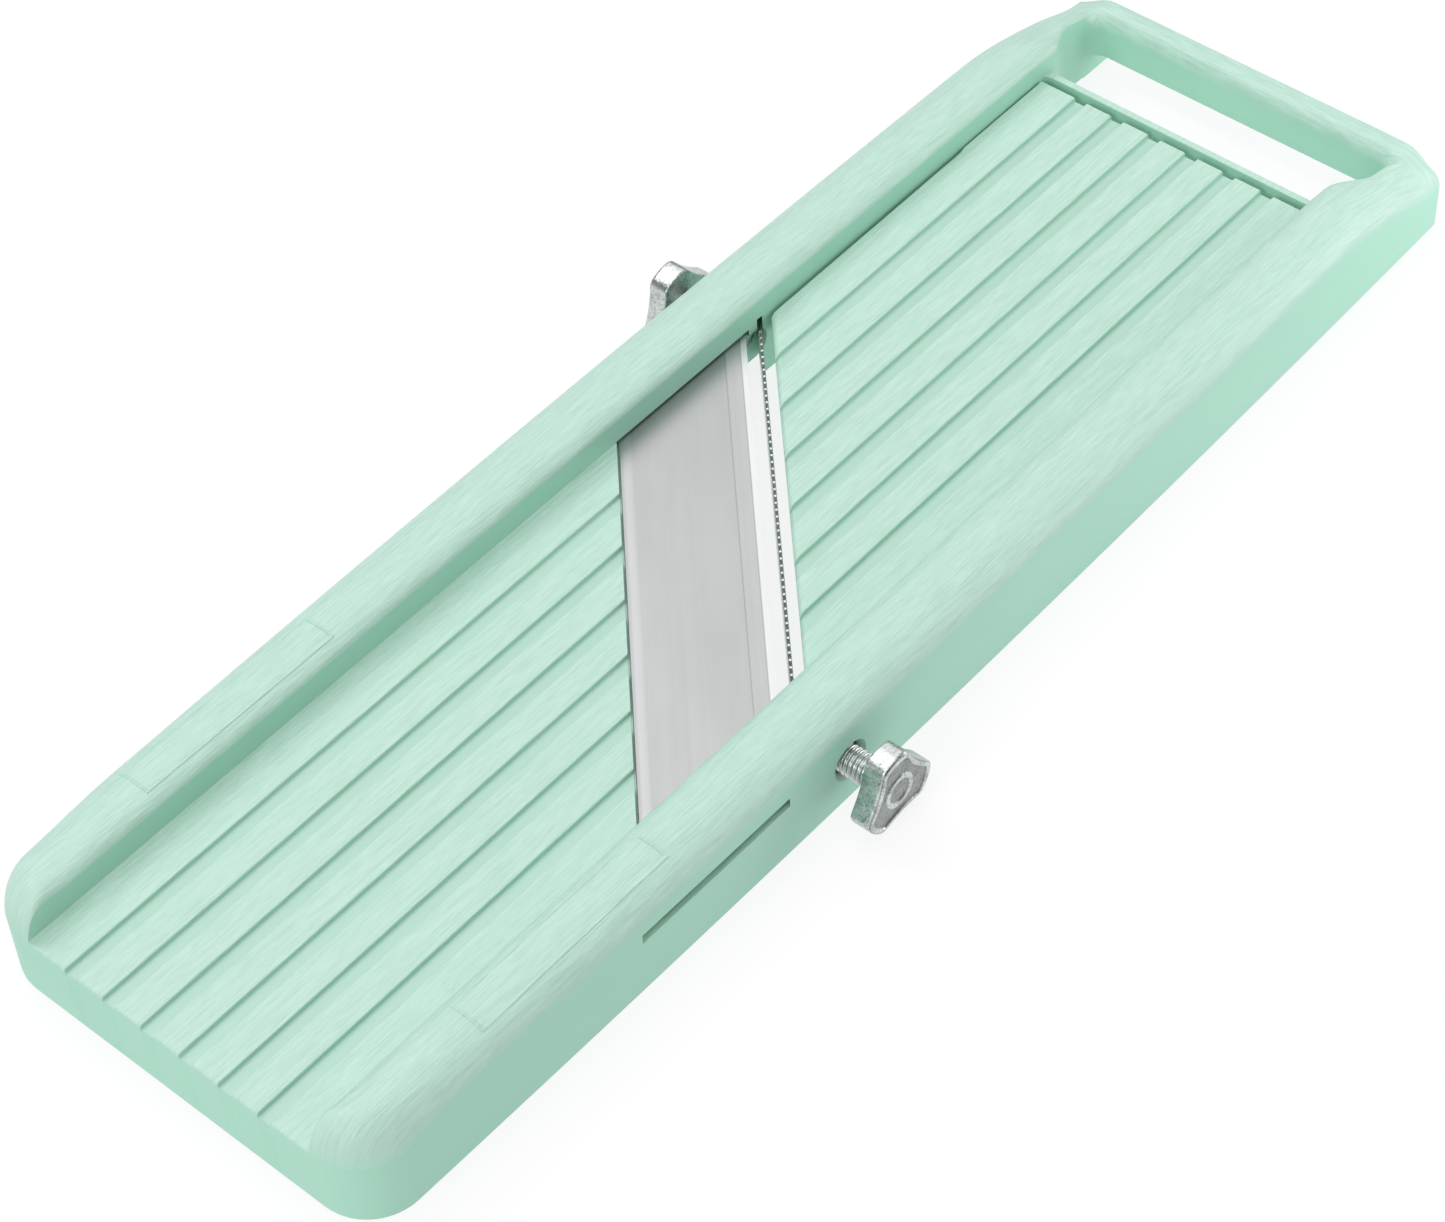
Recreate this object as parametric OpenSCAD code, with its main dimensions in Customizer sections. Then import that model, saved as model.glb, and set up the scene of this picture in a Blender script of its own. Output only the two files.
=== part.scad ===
// Mandoline slicer: a grooved ramp and a tilting plate between two rails, with a slanted blade, a comb
// blade and three thumb screws. X runs along the body towards the handle, Y across it and Z up. The
// origin is on the surface that it stands on, under the middle of the body.

/* [Body] */
// Overall length
body_len = 315; // [312:0.5:318]
// Width over the rails at the middle of the length
body_w = 96.2; // [95:0.1:98]
// How much each side draws in towards the ends
side_bulge = 1.7; // [1:0.1:2.5]
// Height of the rails
rail_h = 23; // [22.5:0.1:24]
// Width of the channel between the rails
channel_w = 67.8; // [67:0.1:68.6]
// Height of the top of the ramp
ramp_z = 14.6; // [14.4:0.1:14.8]
// Thickness of the moulded walls
wall = 2.6; // [2.2:0.1:3]
// Thickness of the ramp, grooves included
ramp_t = 4.2; // [3.8:0.1:4.6]
// Corner radius at the front, seen from above
front_r = 11; // [9:0.5:13]
// Corner radius at the handle, seen from above
back_r = 4; // [3:0.5:6]
// Radius of the rails' outer shoulder
shoulder_r = 5; // [4:0.5:6]
// Radius of the rails' inner top edge
inner_r = 2; // [1.5:0.1:2.5]
// Radius of the nose where each rail starts
nose_r = 8; // [7:0.5:9]

/* [Grooves] */
// Number of grooves
groove_count = 6; // [4:2:6]
// Spacing of the grooves
groove_pitch = 9.32; // [9.2:0.02:9.5]
// Width of a groove
groove_w = 3; // [2.6:0.1:3.4]
// Depth of a groove
groove_d = 1; // [0.8:0.1:1.2]

/* [Blade] */
// Angle between the blade and a line straight across
slant = 46.25; // [46:0.05:46.5]
// Place of the cutting edge, square to the blade, from the origin
edge_u = -2; // [-2.2:0.1:-1.8]
// Width of the blade, square to its edge
blade_w = 26; // [25.6:0.1:26.2]
// Thickness of the blade
blade_t = 1; // [0.9:0.05:1.05]
// Width of the ground bevel
bevel_w = 4.2; // [3.6:0.1:4.8]
// Farthest reach of the blade into the far rail
blade_far_y = 37; // [36.5:0.1:37.4]
// Reach of the blade into the near rail
blade_near_y = 40; // [38:0.5:42]

/* [Comb] */
// Place of the comb's middle, square to the blade, from the origin
comb_u = 0.97; // [0.9:0.01:1.05]
// Thickness of the comb
comb_t = 0.72; // [0.65:0.01:0.9]
// Height of the tips of the teeth above the table
comb_top = 14.8; // [14.4:0.1:15]
// Height of the comb's lower edge above the table
comb_bottom = 4; // [3.8:0.1:5]
// Spacing of the teeth
tooth_pitch = 1.785; // [1.7:0.005:1.9]
// Height of the teeth
tooth_h = 3.2; // [2.8:0.1:3.6]
// Width of the space between two teeth
tooth_gap = 1.05; // [0.9:0.05:1.2]

/* [Plate] */
// Place of the plate's slanted edge, square to the blade, from the origin
plate_u = 3.4; // [3.3:0.05:3.6]
// Half of the plate's width
plate_half = 33.1; // [32.8:0.1:33.2]
// Thickness of the plate, grooves included
plate_t = 2.6; // [2.4:0.1:2.7]
// Slope of the plate when it is fully raised, in degrees
plate_slope = 0.38; // [0.36:0.01:0.4]
// Place of the hinge along the body
hinge_x = 123.5; // [123:0.1:124]
// Height of the hinge
hinge_z = 11.4; // [11.3:0.1:11.5]
// Height of the plate's top above the hinge
plate_rise = 4.58; // [4.5:0.02:4.66]
// Radius of the hinge rod
rod_r = 1.5; // [1.4:0.05:1.6]
// Radial clearance of a running fit
fit_gap = 0.05; // [0.03:0.01:0.08]

/* [Screws] */
// Radius of each stud
stud_r = 3; // [2.9:0.05:3.1]
// Distance of the side screws from the middle, along the body
side_x = 35.4; // [35.2:0.1:35.6]
// Height of the side screws
side_z = 10; // [9.8:0.1:10.2]
// Distance from the middle plane to the tip of the far stud
far_tip_y = 36.2; // [36.15:0.05:37]
// Distance from the middle plane to the tip of the near stud
near_tip_y = 38.9; // [38.85:0.05:39.5]
// Distance from the middle plane to the near knob's outer face
near_face_y = 59.4; // [58.5:0.1:59.6]
// Distance from the middle plane to the far knob's outer face
far_face_y = 56.7; // [56:0.1:59.6]
// Thickness of a side knob
knob_t = 4.6; // [4.4:0.1:5.4]
// Radius of a knob over its lobes
knob_r = 9.1; // [8.8:0.1:9.6]
// Radius of a knob between its lobes
waist_r = 6.6; // [6:0.1:7.2]
// Angle of the near knob's first lobe, in degrees
near_turn = -24; // [-30:1:30]
// Angle of the far knob's first lobe, in degrees
far_turn = -14; // [-30:1:30]
// Place of the thickness screw along the body
adjuster_x = 81.5; // [81:0.5:82]
// Side of a square nut
nut_w = 10; // [9.6:0.1:10]
// Thickness of a square nut
nut_t = 4; // [3.6:0.1:4]

/* [Handle] */
// Where the hand opening starts
opening_x = 131; // [131:0.1:131.5]
// Thickness of the handle bar, seen from above
bar_w = 6; // [5:0.5:7]
// Height of the top of the handle bar
bar_top = 16; // [15.5:0.1:16.5]
// Height of the underside of the handle bar
bar_bottom = 6; // [5:0.5:7]

/* [Hidden] */

half_len = body_len / 2;
channel_half = channel_w / 2;
green = "#a9dcc8";
steel = "#c9cccf";
zinc = "#a9b4b4";
brass = "#c9a95a";

// Plan of the sides and corners
side_steps = 10;
corner_steps = 8;

// Cells under the ramp and inside the rails, which leave the ribs between them
rail_cell_in = channel_half + wall;
rail_cell_out = 44.6;
rail_cell_top = 19.6;
far_cells = [[-145, -118], [-116, -89], [-87, -59], [-57, -29], [-27, 0],
             [2, 26], [44.5, 68], [70, 94], [96, 118]];
near_cells = [[-145, -118], [-116, -93], [-91, -68], [-66, -44.5], [-26, -2],
              [0, 27], [29, 57], [59, 87], [89, 118]];
ramp_cell_rows = [[-channel_half, -12.4], [-10.4, 10.4], [12.4, channel_half]];
ramp_cell_cols = [[-154.3, -128], [-126, -100], [-98, -72]];
ramp_cell_top = ramp_z - ramp_t;
last_cell_x = -70;

// Blade seat and the slots in the walls
seat_z = ramp_z - blade_t - 0.15;
slot_top = ramp_z + 0.5;
slot_bottom = 12.8;
blade_back_u = edge_u - blade_w;
blade_gap = 0.35;
deck_u = edge_u - 2.8;
pocket_far_y = blade_far_y + 1.2;

// Comb seat
comb_slot_t = comb_t + 0.4;
comb_tab_top = 13;
comb_half_y = 33.3;
tab_far_y = 37.6;
tab_near_y = 40.2;
comb_pocket_y = 38.5;
near_pocket_y = 41.3;
comb_slot_top = 15.9;
window_top = 11.8;
window_step = 0.6;

// Pockets in the rails that hold the nuts
nut_y = 41.2;
nut_gap = 0.1;
bore_gap = 0.4;

// Cross-bar under the plate, and the screw that goes through it
bar_half = 6;
bar_under = 6.5;
bar_over = 8;
foot_z = 2.5;
foot_y = 11.5;
hub_r = 5.8;
hub_bottom = 5;
insert_r = 4.2;
collar_z = 9.9;
head_z = 11.9;
head_t = 1;
head_r = 4;
neck_r = 2;
head_gap = 0.25;
saddle_half = 7;
saddle_bottom = 10.45;
adjuster_knob_z = 2.2;
adjuster_knob_t = 4;
knob_pocket_r = 6.3;
knob_pocket_z = 4.8;

// Plate details
barrel_r = 3.2;
plate_back = 4;
skirt_t = 2;
skirt_h = 2.4;
shoulder_x = 100;
shoulder_step = 0.4;
rod_half = 38;
web_x = 129.3;
web_bottom = 4;

// Where the rails fall to the height of the handle bar, and the half width of the gap under the bar
fall_start = 110;
fall_end = 156;
fall_steps = 12;
under_bar_y = 36;
opening_flare = 4.2;
opening_corner = 8;
adjuster_waist_r = 7.4;

// Knob flanks: each is an arc of this radius
flank_r = 30;
knob_bevel = 0.9;
knob_floor = 1.6;

far = 200;

// Half of the body's width at a place along it
function half_w(x) = body_w / 2 - side_bulge * pow(x / half_len, 2);

// A soft start and end between 0 and 1
function ease(s) = s * s * (3 - 2 * s);

function arc(cx, cy, r, from) =
    [for (i = [0:corner_steps]) [cx + r * cos(from + 90 * i / corner_steps),
                                 cy + r * sin(from + 90 * i / corner_steps)]];

function side(from, to, way) =
    [for (i = [1:side_steps - 1]) let (x = from + (to - from) * i / side_steps) [x, way * half_w(x)]];

front_cx = front_r - half_len;
back_cx = half_len - back_r;
front_cy = half_w(front_cx) - front_r;
back_cy = half_w(back_cx) - back_r;
plan_points = concat(side(front_cx, back_cx, -1), arc(back_cx, -back_cy, back_r, -90),
                     arc(back_cx, back_cy, back_r, 0), side(back_cx, front_cx, 1),
                     arc(front_cx, front_cy, front_r, 90), arc(front_cx, -front_cy, front_r, 180));

// Distance from the middle plane to the slanted line at u, along X
function slant_x(u, y) = u / cos(slant) + y * tan(slant);

// Puts a shape in the blade's own frame: X square to the edge, Y along it
module slanted() {
    rotate([0, 0, -slant])
        children();
}

// A slab between two lines parallel to the blade
module slanted_slab(u0, u1, z0, z1) {
    slanted()
        translate([u0, -far / 2, z0])
            cube([u1 - u0, far, z1 - z0]);
}

// A box given by its low and high corners
module box(low, high) {
    translate(low)
        cube(high - low);
}

// Extrudes a section drawn as X and Z, centred on Y
module across(w) {
    rotate([90, 0, 0])
        linear_extrude(height = w, center = true)
            children();
}

module rail_section() {
    top = rail_h - shoulder_r;
    out = body_w / 2 - shoulder_r;
    translate([channel_half, 0])
        square([body_w / 2 - channel_half, top]);
    translate([channel_half + inner_r, 0])
        square([out - channel_half - inner_r, rail_h]);
    translate([channel_half, 0])
        square([inner_r * 2, rail_h - inner_r]);
    translate([out, top])
        circle(r = shoulder_r, $fn = 64);
    translate([channel_half + inner_r, rail_h - inner_r])
        circle(r = inner_r, $fn = 48);
}

module body_section() {
    translate([-channel_half - 1, 0])
        square([channel_w + 2, ramp_z]);
    rail_section();
    mirror([1, 0])
        rail_section();
}

// The body seen from the side: round noses in front, and rails that fall to the handle
module side_profile() {
    fall = [for (i = [0:fall_steps]) let (s = i / fall_steps)
            [fall_start + (fall_end - fall_start) * s, rail_h - (rail_h - bar_top) * ease(s)]];
    nose = [for (i = [0:8]) let (a = 180 - 90 * i / 8)
            [nose_r - half_len + nose_r * cos(a), rail_h - nose_r + nose_r * sin(a)]];
    polygon(concat([[half_len, 0], [-half_len, 0]], nose, fall, [[half_len, bar_top]]));
}

module outer_form() {
    intersection() {
        linear_extrude(height = rail_h)
            polygon(plan_points);
        rotate([90, 0, 90])
            linear_extrude(height = body_len, center = true)
                body_section();
        across(body_w)
            side_profile();
    }
}

module grooves(z, from, to) {
    for (i = [0:groove_count - 1])
        translate([from, (i - (groove_count - 1) / 2) * groove_pitch - groove_w / 2, z - groove_d])
            cube([to - from, groove_w, groove_d + 1]);
}

// The cells inside the far rail
module rail_cells(cols) {
    for (c = cols)
        box([c[0], rail_cell_in, -1], [c[1], rail_cell_out, rail_cell_top]);
}

module ramp_cells() {
    for (row = ramp_cell_rows) {
        for (col = ramp_cell_cols)
            box([col[0], row[0], -1], [col[1], row[1], ramp_cell_top]);
        translate([0, 0, -1])
            linear_extrude(height = ramp_cell_top + 1)
                polygon([[last_cell_x, row[0]], [slant_x(deck_u - wall, row[0]), row[0]],
                         [slant_x(deck_u - wall, row[1]), row[1]], [last_cell_x, row[1]]]);
    }
}

// The open well under the plate, and the hand opening behind it
module well() {
    translate([0, 0, -1])
        linear_extrude(height = far)
            polygon([[slant_x(deck_u, -channel_half), -channel_half], [web_x, -channel_half],
                     [web_x, channel_half], [slant_x(deck_u, channel_half), channel_half]]);
}

module hand_opening() {
    in_x = half_len - bar_w;
    translate([0, 0, -1])
        linear_extrude(height = far)
            polygon([[opening_x, -channel_half], [in_x - opening_corner, -channel_half - opening_flare],
                     [in_x, -channel_half], [in_x, channel_half],
                     [in_x - opening_corner, channel_half + opening_flare], [opening_x, channel_half]]);
    box([in_x - 1, -under_bar_y, -1], [half_len + 1, under_bar_y, bar_bottom]);
}

// Everything that the blade and the comb need in the walls
module blade_cuts() {
    intersection() {
        slanted_slab(blade_back_u - blade_gap, edge_u + 0.7, seat_z, slot_top);
        box([-far, -far, 0], [far, pocket_far_y, rail_h]);
    }
    intersection() {
        slanted_slab(blade_back_u - blade_gap, edge_u + 0.7, slot_bottom, slot_top);
        box([-far, -far, 0], [far, -rail_cell_out, rail_h]);
    }
    intersection() {
        slanted_slab(comb_u - comb_slot_t / 2, comb_u + comb_slot_t / 2, -1, comb_slot_top);
        box([-far, -near_pocket_y, -1], [far, comb_pocket_y, rail_h]);
    }
    intersection() {
        slanted_slab(deck_u + window_step, comb_u, -1, window_top);
        box([0, 0, -1], [far, comb_pocket_y, rail_h]);
    }
    intersection() {
        slanted_slab(comb_u, comb_u - deck_u, -1, window_top);
        box([-far, -near_pocket_y, -1], [0, 0, rail_h]);
    }
}

// Bore and nut pocket of the far side screw
module screw_cuts() {
    translate([side_x, 0, side_z])
        rotate([-90, 0, 0])
            translate([0, 0, channel_half - 2])
                cylinder(r = stud_r + bore_gap, h = 30, $fn = 64);
    box([side_x - nut_w / 2 - nut_gap, nut_y - nut_gap, -1],
        [side_x + nut_w / 2 + nut_gap, nut_y + nut_t + nut_gap, side_z + nut_w / 2 + nut_gap]);
}

module cross_bar() {
    inner = channel_half + 0.5;
    difference() {
        union() {
            box([adjuster_x - bar_half, -inner, bar_under], [adjuster_x + bar_half, inner, bar_over]);
            box([adjuster_x - bar_half, -inner, foot_z], [adjuster_x + bar_half, -foot_y, bar_over]);
            box([adjuster_x - bar_half, foot_y, foot_z], [adjuster_x + bar_half, inner, bar_over]);
            translate([adjuster_x, 0, hub_bottom])
                cylinder(r = hub_r, h = bar_over - hub_bottom, $fn = 64);
        }
        translate([adjuster_x, 0, 0])
            cylinder(r = insert_r, h = 20, $fn = 64);
    }
}

module rod_bores() {
    translate([hinge_x, 0, hinge_z])
        rotate([90, 0, 0])
            cylinder(r = rod_r, h = rod_half * 2, center = true, $fn = 48);
}

module body_frame() color(green) {
    difference() {
        outer_form();
        grooves(ramp_z, -far, 0);
        well();
        hand_opening();
        ramp_cells();
        rail_cells(far_cells);
        mirror([0, 1, 0])
            rail_cells(near_cells);
        blade_cuts();
        screw_cuts();
        rotate([0, 0, 180])
            screw_cuts();
        rod_bores();
    }
    cross_bar();
    intersection() {
        linear_extrude(height = bar_top)
            polygon(plan_points);
        box([half_len - bar_w, -channel_half - 0.5, bar_bottom], [half_len, channel_half + 0.5, bar_top]);
    }
    box([web_x, -channel_half - 0.5, web_bottom], [opening_x, channel_half + 0.5, bar_top]);
}

// The plate is drawn about its hinge, then turned to its raised slope
module plate_plan(half, from_x) {
    front = [slant_x(plate_u, -half) - hinge_x, slant_x(plate_u, half) - hinge_x];
    polygon([[max(front[0], from_x), -half], [plate_back, -half], [plate_back, half], [max(front[1], from_x), half]]);
}

module plate_skirts() {
    low = plate_rise - plate_t - skirt_h;
    intersection() {
        translate([0, 0, low])
            linear_extrude(height = skirt_h + 1)
                plate_plan(plate_half, -far);
        union() {
            for (y = [-plate_half, -11 - skirt_t / 2, 11 - skirt_t / 2, plate_half - skirt_t])
                translate([-far, y, low])
                    cube([far, skirt_t, skirt_h + 1]);
            translate([-hinge_x, 0, 0])
                slanted_slab(plate_u, plate_u + skirt_t, low, low + skirt_h + 1);
        }
    }
}

module plate_shape() {
    difference() {
        union() {
            translate([0, 0, plate_rise - plate_t])
                linear_extrude(height = plate_t)
                    plate_plan(plate_half, -far);
            translate([0, 0, plate_rise - plate_t])
                linear_extrude(height = plate_t)
                    plate_plan(plate_half + shoulder_step, shoulder_x - hinge_x);
            plate_skirts();
            rotate([90, 0, 0])
                cylinder(r = barrel_r, h = plate_half * 2, center = true, $fn = 64);
        }
        grooves(plate_rise, -far, far);
        rotate([90, 0, 0])
            cylinder(r = rod_r + fit_gap, h = plate_half * 3, center = true, $fn = 48);
    }
}

// The saddle holds the head of the thickness screw in a keyhole that is open towards the blade
module saddle() {
    top = head_z + head_t + head_gap;
    difference() {
        box([adjuster_x - saddle_half, -saddle_half - 1, saddle_bottom],
            [adjuster_x + saddle_half, saddle_half + 1, top + 0.2]);
        saddle_slot(head_r + 0.3, head_z - head_gap, top);
        saddle_slot(neck_r + 0.3, saddle_bottom - 1, head_z);
    }
}

module saddle_slot(r, z0, z1) {
    translate([adjuster_x, 0, z0])
        cylinder(r = r, h = z1 - z0, $fn = 48);
    box([adjuster_x - saddle_half - 1, -r, z0], [adjuster_x, r, z1]);
}

module tilting_plate() color(green) {
    difference() {
        translate([hinge_x, 0, hinge_z])
            rotate([0, -plate_slope, 0])
                plate_shape();
        saddle_slot(head_r + 0.3, head_z - head_gap, head_z + head_t + head_gap);
    }
    saddle();
}

module plate_hinge_rod() color(steel) {
    translate([hinge_x, 0, hinge_z])
        rotate([90, 0, 0])
            cylinder(r = rod_r, h = rod_half * 2, center = true, $fn = 48);
}

module main_blade() color(steel) {
    low = ramp_z - blade_t;
    intersection() {
        slanted()
            across(far)
                polygon([[blade_back_u, low], [blade_back_u, ramp_z], [edge_u - bevel_w, ramp_z],
                         [edge_u, ramp_z - 0.4], [edge_u, ramp_z - 0.5], [edge_u - bevel_w, low]]);
        box([-far, -blade_near_y, 0], [far, blade_far_y, rail_h]);
    }
}

module comb_blade() color(steel) {
    teeth = floor(comb_half_y / cos(slant) / tooth_pitch);
    difference() {
        union() {
            intersection() {
                slanted_slab(comb_u - comb_t / 2, comb_u + comb_t / 2, comb_bottom, comb_top);
                box([-far, -comb_half_y, 0], [far, comb_half_y, rail_h]);
            }
            intersection() {
                slanted_slab(comb_u - comb_t / 2, comb_u + comb_t / 2, comb_bottom, comb_tab_top);
                box([-far, -tab_near_y, 0], [far, tab_far_y, rail_h]);
            }
        }
        slanted()
            for (i = [-teeth:teeth])
                translate([comb_u - 1, i * tooth_pitch - tooth_gap / 2, comb_top - tooth_h])
                    cube([2, tooth_gap, tooth_h + 1]);
    }
}

// Outline of a knob: three lobes with hollow flanks between them
module knob_outline(waist) {
    difference() {
        circle(r = knob_r, $fn = 96);
        for (i = [0:2])
            rotate(60 + 120 * i)
                translate([waist + flank_r, 0])
                    circle(r = flank_r, $fn = 128);
    }
}

// A knob with its outer face on the XY plane and its stud's bore opening upwards
module knob(t, turn, waist) {
    intersection() {
        linear_extrude(height = t)
            rotate(turn)
                knob_outline(waist);
        rotate_extrude($fn = 96)
            polygon([[0, 0], [knob_r - knob_bevel, 0], [knob_r, knob_bevel],
                     [knob_r, t - knob_bevel], [knob_r - knob_bevel, t], [0, t]]);
    }
}

// Moves a screw that is drawn upwards from z = 0 at the middle plane to the far side
module far_side() {
    translate([side_x, 0, side_z])
        rotate([-90, 0, 0])
            children();
}

module side_stud(tip_y, face_y) {
    translate([0, 0, tip_y])
        cylinder(r = stud_r, h = face_y - knob_floor - tip_y, $fn = 64);
}

module side_knob(turn, face_y) {
    difference() {
        translate([0, 0, face_y])
            rotate([180, 0, 0])
                knob(knob_t, turn, waist_r);
        translate([0, 0, face_y - knob_t - 1])
            cylinder(r = stud_r + fit_gap, h = knob_t + 1 - knob_floor + 0.1, $fn = 64);
    }
}

module square_nut() {
    translate([0, 0, nut_y])
        difference() {
            translate([-nut_w / 2, -nut_w / 2, 0])
                cube([nut_w, nut_w, nut_t]);
            translate([0, 0, -1])
                cylinder(r = stud_r + fit_gap, h = nut_t + 2, $fn = 64);
        }
}

module near_side() {
    rotate([0, 0, 180])
        far_side()
            children();
}

module near_screw_stud() color(zinc) {
    near_side()
        side_stud(near_tip_y, near_face_y);
}

module near_screw_knob() color(zinc) {
    near_side()
        side_knob(180 - near_turn, near_face_y);
}

module near_screw_nut() color(steel) {
    near_side()
        square_nut();
}

module far_screw_stud() color(zinc) {
    far_side()
        side_stud(far_tip_y, far_face_y);
}

module far_screw_knob() color(zinc) {
    far_side()
        side_knob(far_turn, far_face_y);
}

module far_screw_nut() color(steel) {
    far_side()
        square_nut();
}

module adjuster_stud() color(zinc) {
    translate([adjuster_x, 0, 0]) {
        translate([0, 0, adjuster_knob_z + 1])
            cylinder(r = stud_r, h = collar_z - adjuster_knob_z - 1, $fn = 64);
        translate([0, 0, collar_z - 1])
            cylinder(r = neck_r, h = head_z - collar_z + 1.5, $fn = 48);
        translate([0, 0, head_z])
            cylinder(r = head_r, h = head_t, $fn = 64);
    }
}

module adjuster_knob() color(zinc) {
    translate([adjuster_x, 0, adjuster_knob_z])
        difference() {
            knob(adjuster_knob_t, 30, adjuster_waist_r);
            translate([0, 0, 0.9])
                cylinder(r = stud_r + fit_gap, h = 10, $fn = 64);
            translate([0, 0, knob_pocket_z - adjuster_knob_z])
                cylinder(r = knob_pocket_r, h = 10, $fn = 64);
        }
}

module adjuster_insert() color(brass) {
    translate([adjuster_x, 0, hub_bottom])
        difference() {
            cylinder(r = insert_r, h = bar_over - hub_bottom, $fn = 64);
            translate([0, 0, -1])
                cylinder(r = stud_r + fit_gap, h = 10, $fn = 64);
        }
}

body_frame();
tilting_plate();
plate_hinge_rod();
main_blade();
comb_blade();
near_screw_stud();
near_screw_knob();
near_screw_nut();
far_screw_stud();
far_screw_knob();
far_screw_nut();
adjuster_stud();
adjuster_knob();
adjuster_insert();
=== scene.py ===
"""Looks of a mandoline slicer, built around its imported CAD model.

Sizes are in millimetres in the part's own frame: +X runs towards the handle, +Y to the far side and +Z up,
with the origin on the table under the middle of the body. Meshes are scaled to metres when they are made.
"""

import math

import bmesh
import bpy
from mathutils import Matrix, Vector


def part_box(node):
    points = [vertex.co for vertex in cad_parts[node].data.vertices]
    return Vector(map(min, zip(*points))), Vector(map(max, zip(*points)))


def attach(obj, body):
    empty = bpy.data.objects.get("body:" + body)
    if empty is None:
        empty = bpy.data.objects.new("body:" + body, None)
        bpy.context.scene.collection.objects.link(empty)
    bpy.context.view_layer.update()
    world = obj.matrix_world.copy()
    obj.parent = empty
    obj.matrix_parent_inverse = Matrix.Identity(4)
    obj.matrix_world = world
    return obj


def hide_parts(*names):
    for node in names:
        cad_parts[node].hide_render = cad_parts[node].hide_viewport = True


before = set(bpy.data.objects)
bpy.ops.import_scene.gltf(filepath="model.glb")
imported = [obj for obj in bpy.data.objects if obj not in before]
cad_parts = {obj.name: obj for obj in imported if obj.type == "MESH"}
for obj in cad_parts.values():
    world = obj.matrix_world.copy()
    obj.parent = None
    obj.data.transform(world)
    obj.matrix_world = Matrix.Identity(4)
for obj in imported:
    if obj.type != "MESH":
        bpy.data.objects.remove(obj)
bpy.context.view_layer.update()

MM = 0.001


def node_box(node):
    """Lowest and highest corner of a CAD node, in millimetres."""
    low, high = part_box(node)
    return low / MM, high / MM


# ------------ sizes from the frame
BODY_HIGH = node_box("body_frame")[1]
HALF_LEN = BODY_HIGH.x
HALF_W = BODY_HIGH.y
RAIL_H = BODY_HIGH.z
LABEL_LIFT = 0.25
CROWN_H = RAIL_H - LABEL_LIFT
BLADE_LOW, BLADE_HIGH = node_box("main_blade")
COMB_LOW, COMB_HIGH = node_box("comb_blade")
RAMP_Z = BLADE_HIGH.z
STUD_LOW, STUD_HIGH = node_box("far_screw_stud")
SCREW_X = (STUD_LOW.x + STUD_HIGH.x) / 2
ADJUSTER_LOW, ADJUSTER_HIGH = node_box("adjuster_stud")
ADJUSTER_X = (ADJUSTER_LOW.x + ADJUSTER_HIGH.x) / 2
AT_ADJUSTER = Matrix.Translation((ADJUSTER_X, 0, 0))
ROD_LOW, ROD_HIGH = node_box("plate_hinge_rod")
HINGE = Vector(((ROD_LOW.x + ROD_HIGH.x) / 2, 0, (ROD_LOW.z + ROD_HIGH.z) / 2))

# ------------ sizes of the design
CHANNEL = 33.9  # half of the channel between the rails
SIDE_BULGE = 1.7
FRONT_R = 11.0
BACK_R = 2.5
SHOULDER_R = 9.0
WALL = 2.6
RAMP_T = 4.2
GROOVES = 6
GROOVE_PITCH = 9.32
GROOVE_W = 3.0
GROOVE_D = 1.0
SLANT = math.radians(46.25)
COS_SLANT = math.cos(SLANT)
EDGE_U = -2.0
BLADE_W = 26.0
DECK_U = EDGE_U - 2.8
SEAT_Z = RAMP_Z - 1.15
SLOT_Z = (12.8, RAMP_Z + 0.5)
COMB_U = 0.97
COMB_T = 0.72
WINDOW_TOP = 11.8
PLATE_U = 3.4
SCREW_Z = 10.0
STUD_R = 3.0
BAR_X = 151.5
BAR_TOP = 16.0
BAR_BOTTOM = 6.0
OPENING_X = 131.0
WEB_X = 129.3
FILLET = 4.0
FLARE = 4.2
FOOT_R = 0.4


# ------------ small helpers
def lerp(a, b, t):
    return a + (b - a) * t


def clamp(v, low=0.0, high=1.0):
    return min(max(v, low), high)


def smooth(t):
    """Goes from 0 to 1 as t does, with a soft start and end."""
    t = clamp(t)
    return t * t * (3 - 2 * t)


def rise(v, start, length):
    """0 up to start and 1 from a length further on, with a soft change between."""
    return smooth((v - start) / length)


def spaced(a, b, count):
    """count even steps from a to b, both ends included."""
    return [lerp(a, b, i / count) for i in range(count + 1)]


def turns(count, first=0.0, last=90.0):
    """Angles in radians, in count even steps."""
    return [math.radians(a) for a in spaced(first, last, count)]


def slant_x(u, y):
    """Where the line that lies u from the origin, square to the blade, crosses y."""
    return u / COS_SLANT + y * math.tan(SLANT)


def mesh_from(name, points, faces, merge=0.0):
    """A closed mesh object from points in millimetres, its normals turned outwards."""
    bm = bmesh.new()
    verts = [bm.verts.new(Vector(p) * MM) for p in points]
    for f in faces:
        bm.faces.new([verts[i] for i in f])
    if merge:
        bmesh.ops.remove_doubles(bm, verts=bm.verts, dist=merge * MM)
        bmesh.ops.dissolve_degenerate(bm, edges=bm.edges, dist=merge * MM)
    bmesh.ops.recalc_face_normals(bm, faces=bm.faces)
    mesh = bpy.data.meshes.new(name)
    bm.to_mesh(mesh)
    bm.free()
    obj = bpy.data.objects.new(name, mesh)
    bpy.context.scene.collection.objects.link(obj)
    return obj


def tube_faces(rings, around, closed=False):
    """Quads between rings of points stored one after another. A closed tube's last ring joins its first."""
    return [(r * around + c, r * around + (c + 1) % around,
             (r + 1) % rings * around + (c + 1) % around, (r + 1) % rings * around + c)
            for r in range(rings if closed else rings - 1) for c in range(around)]


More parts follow.
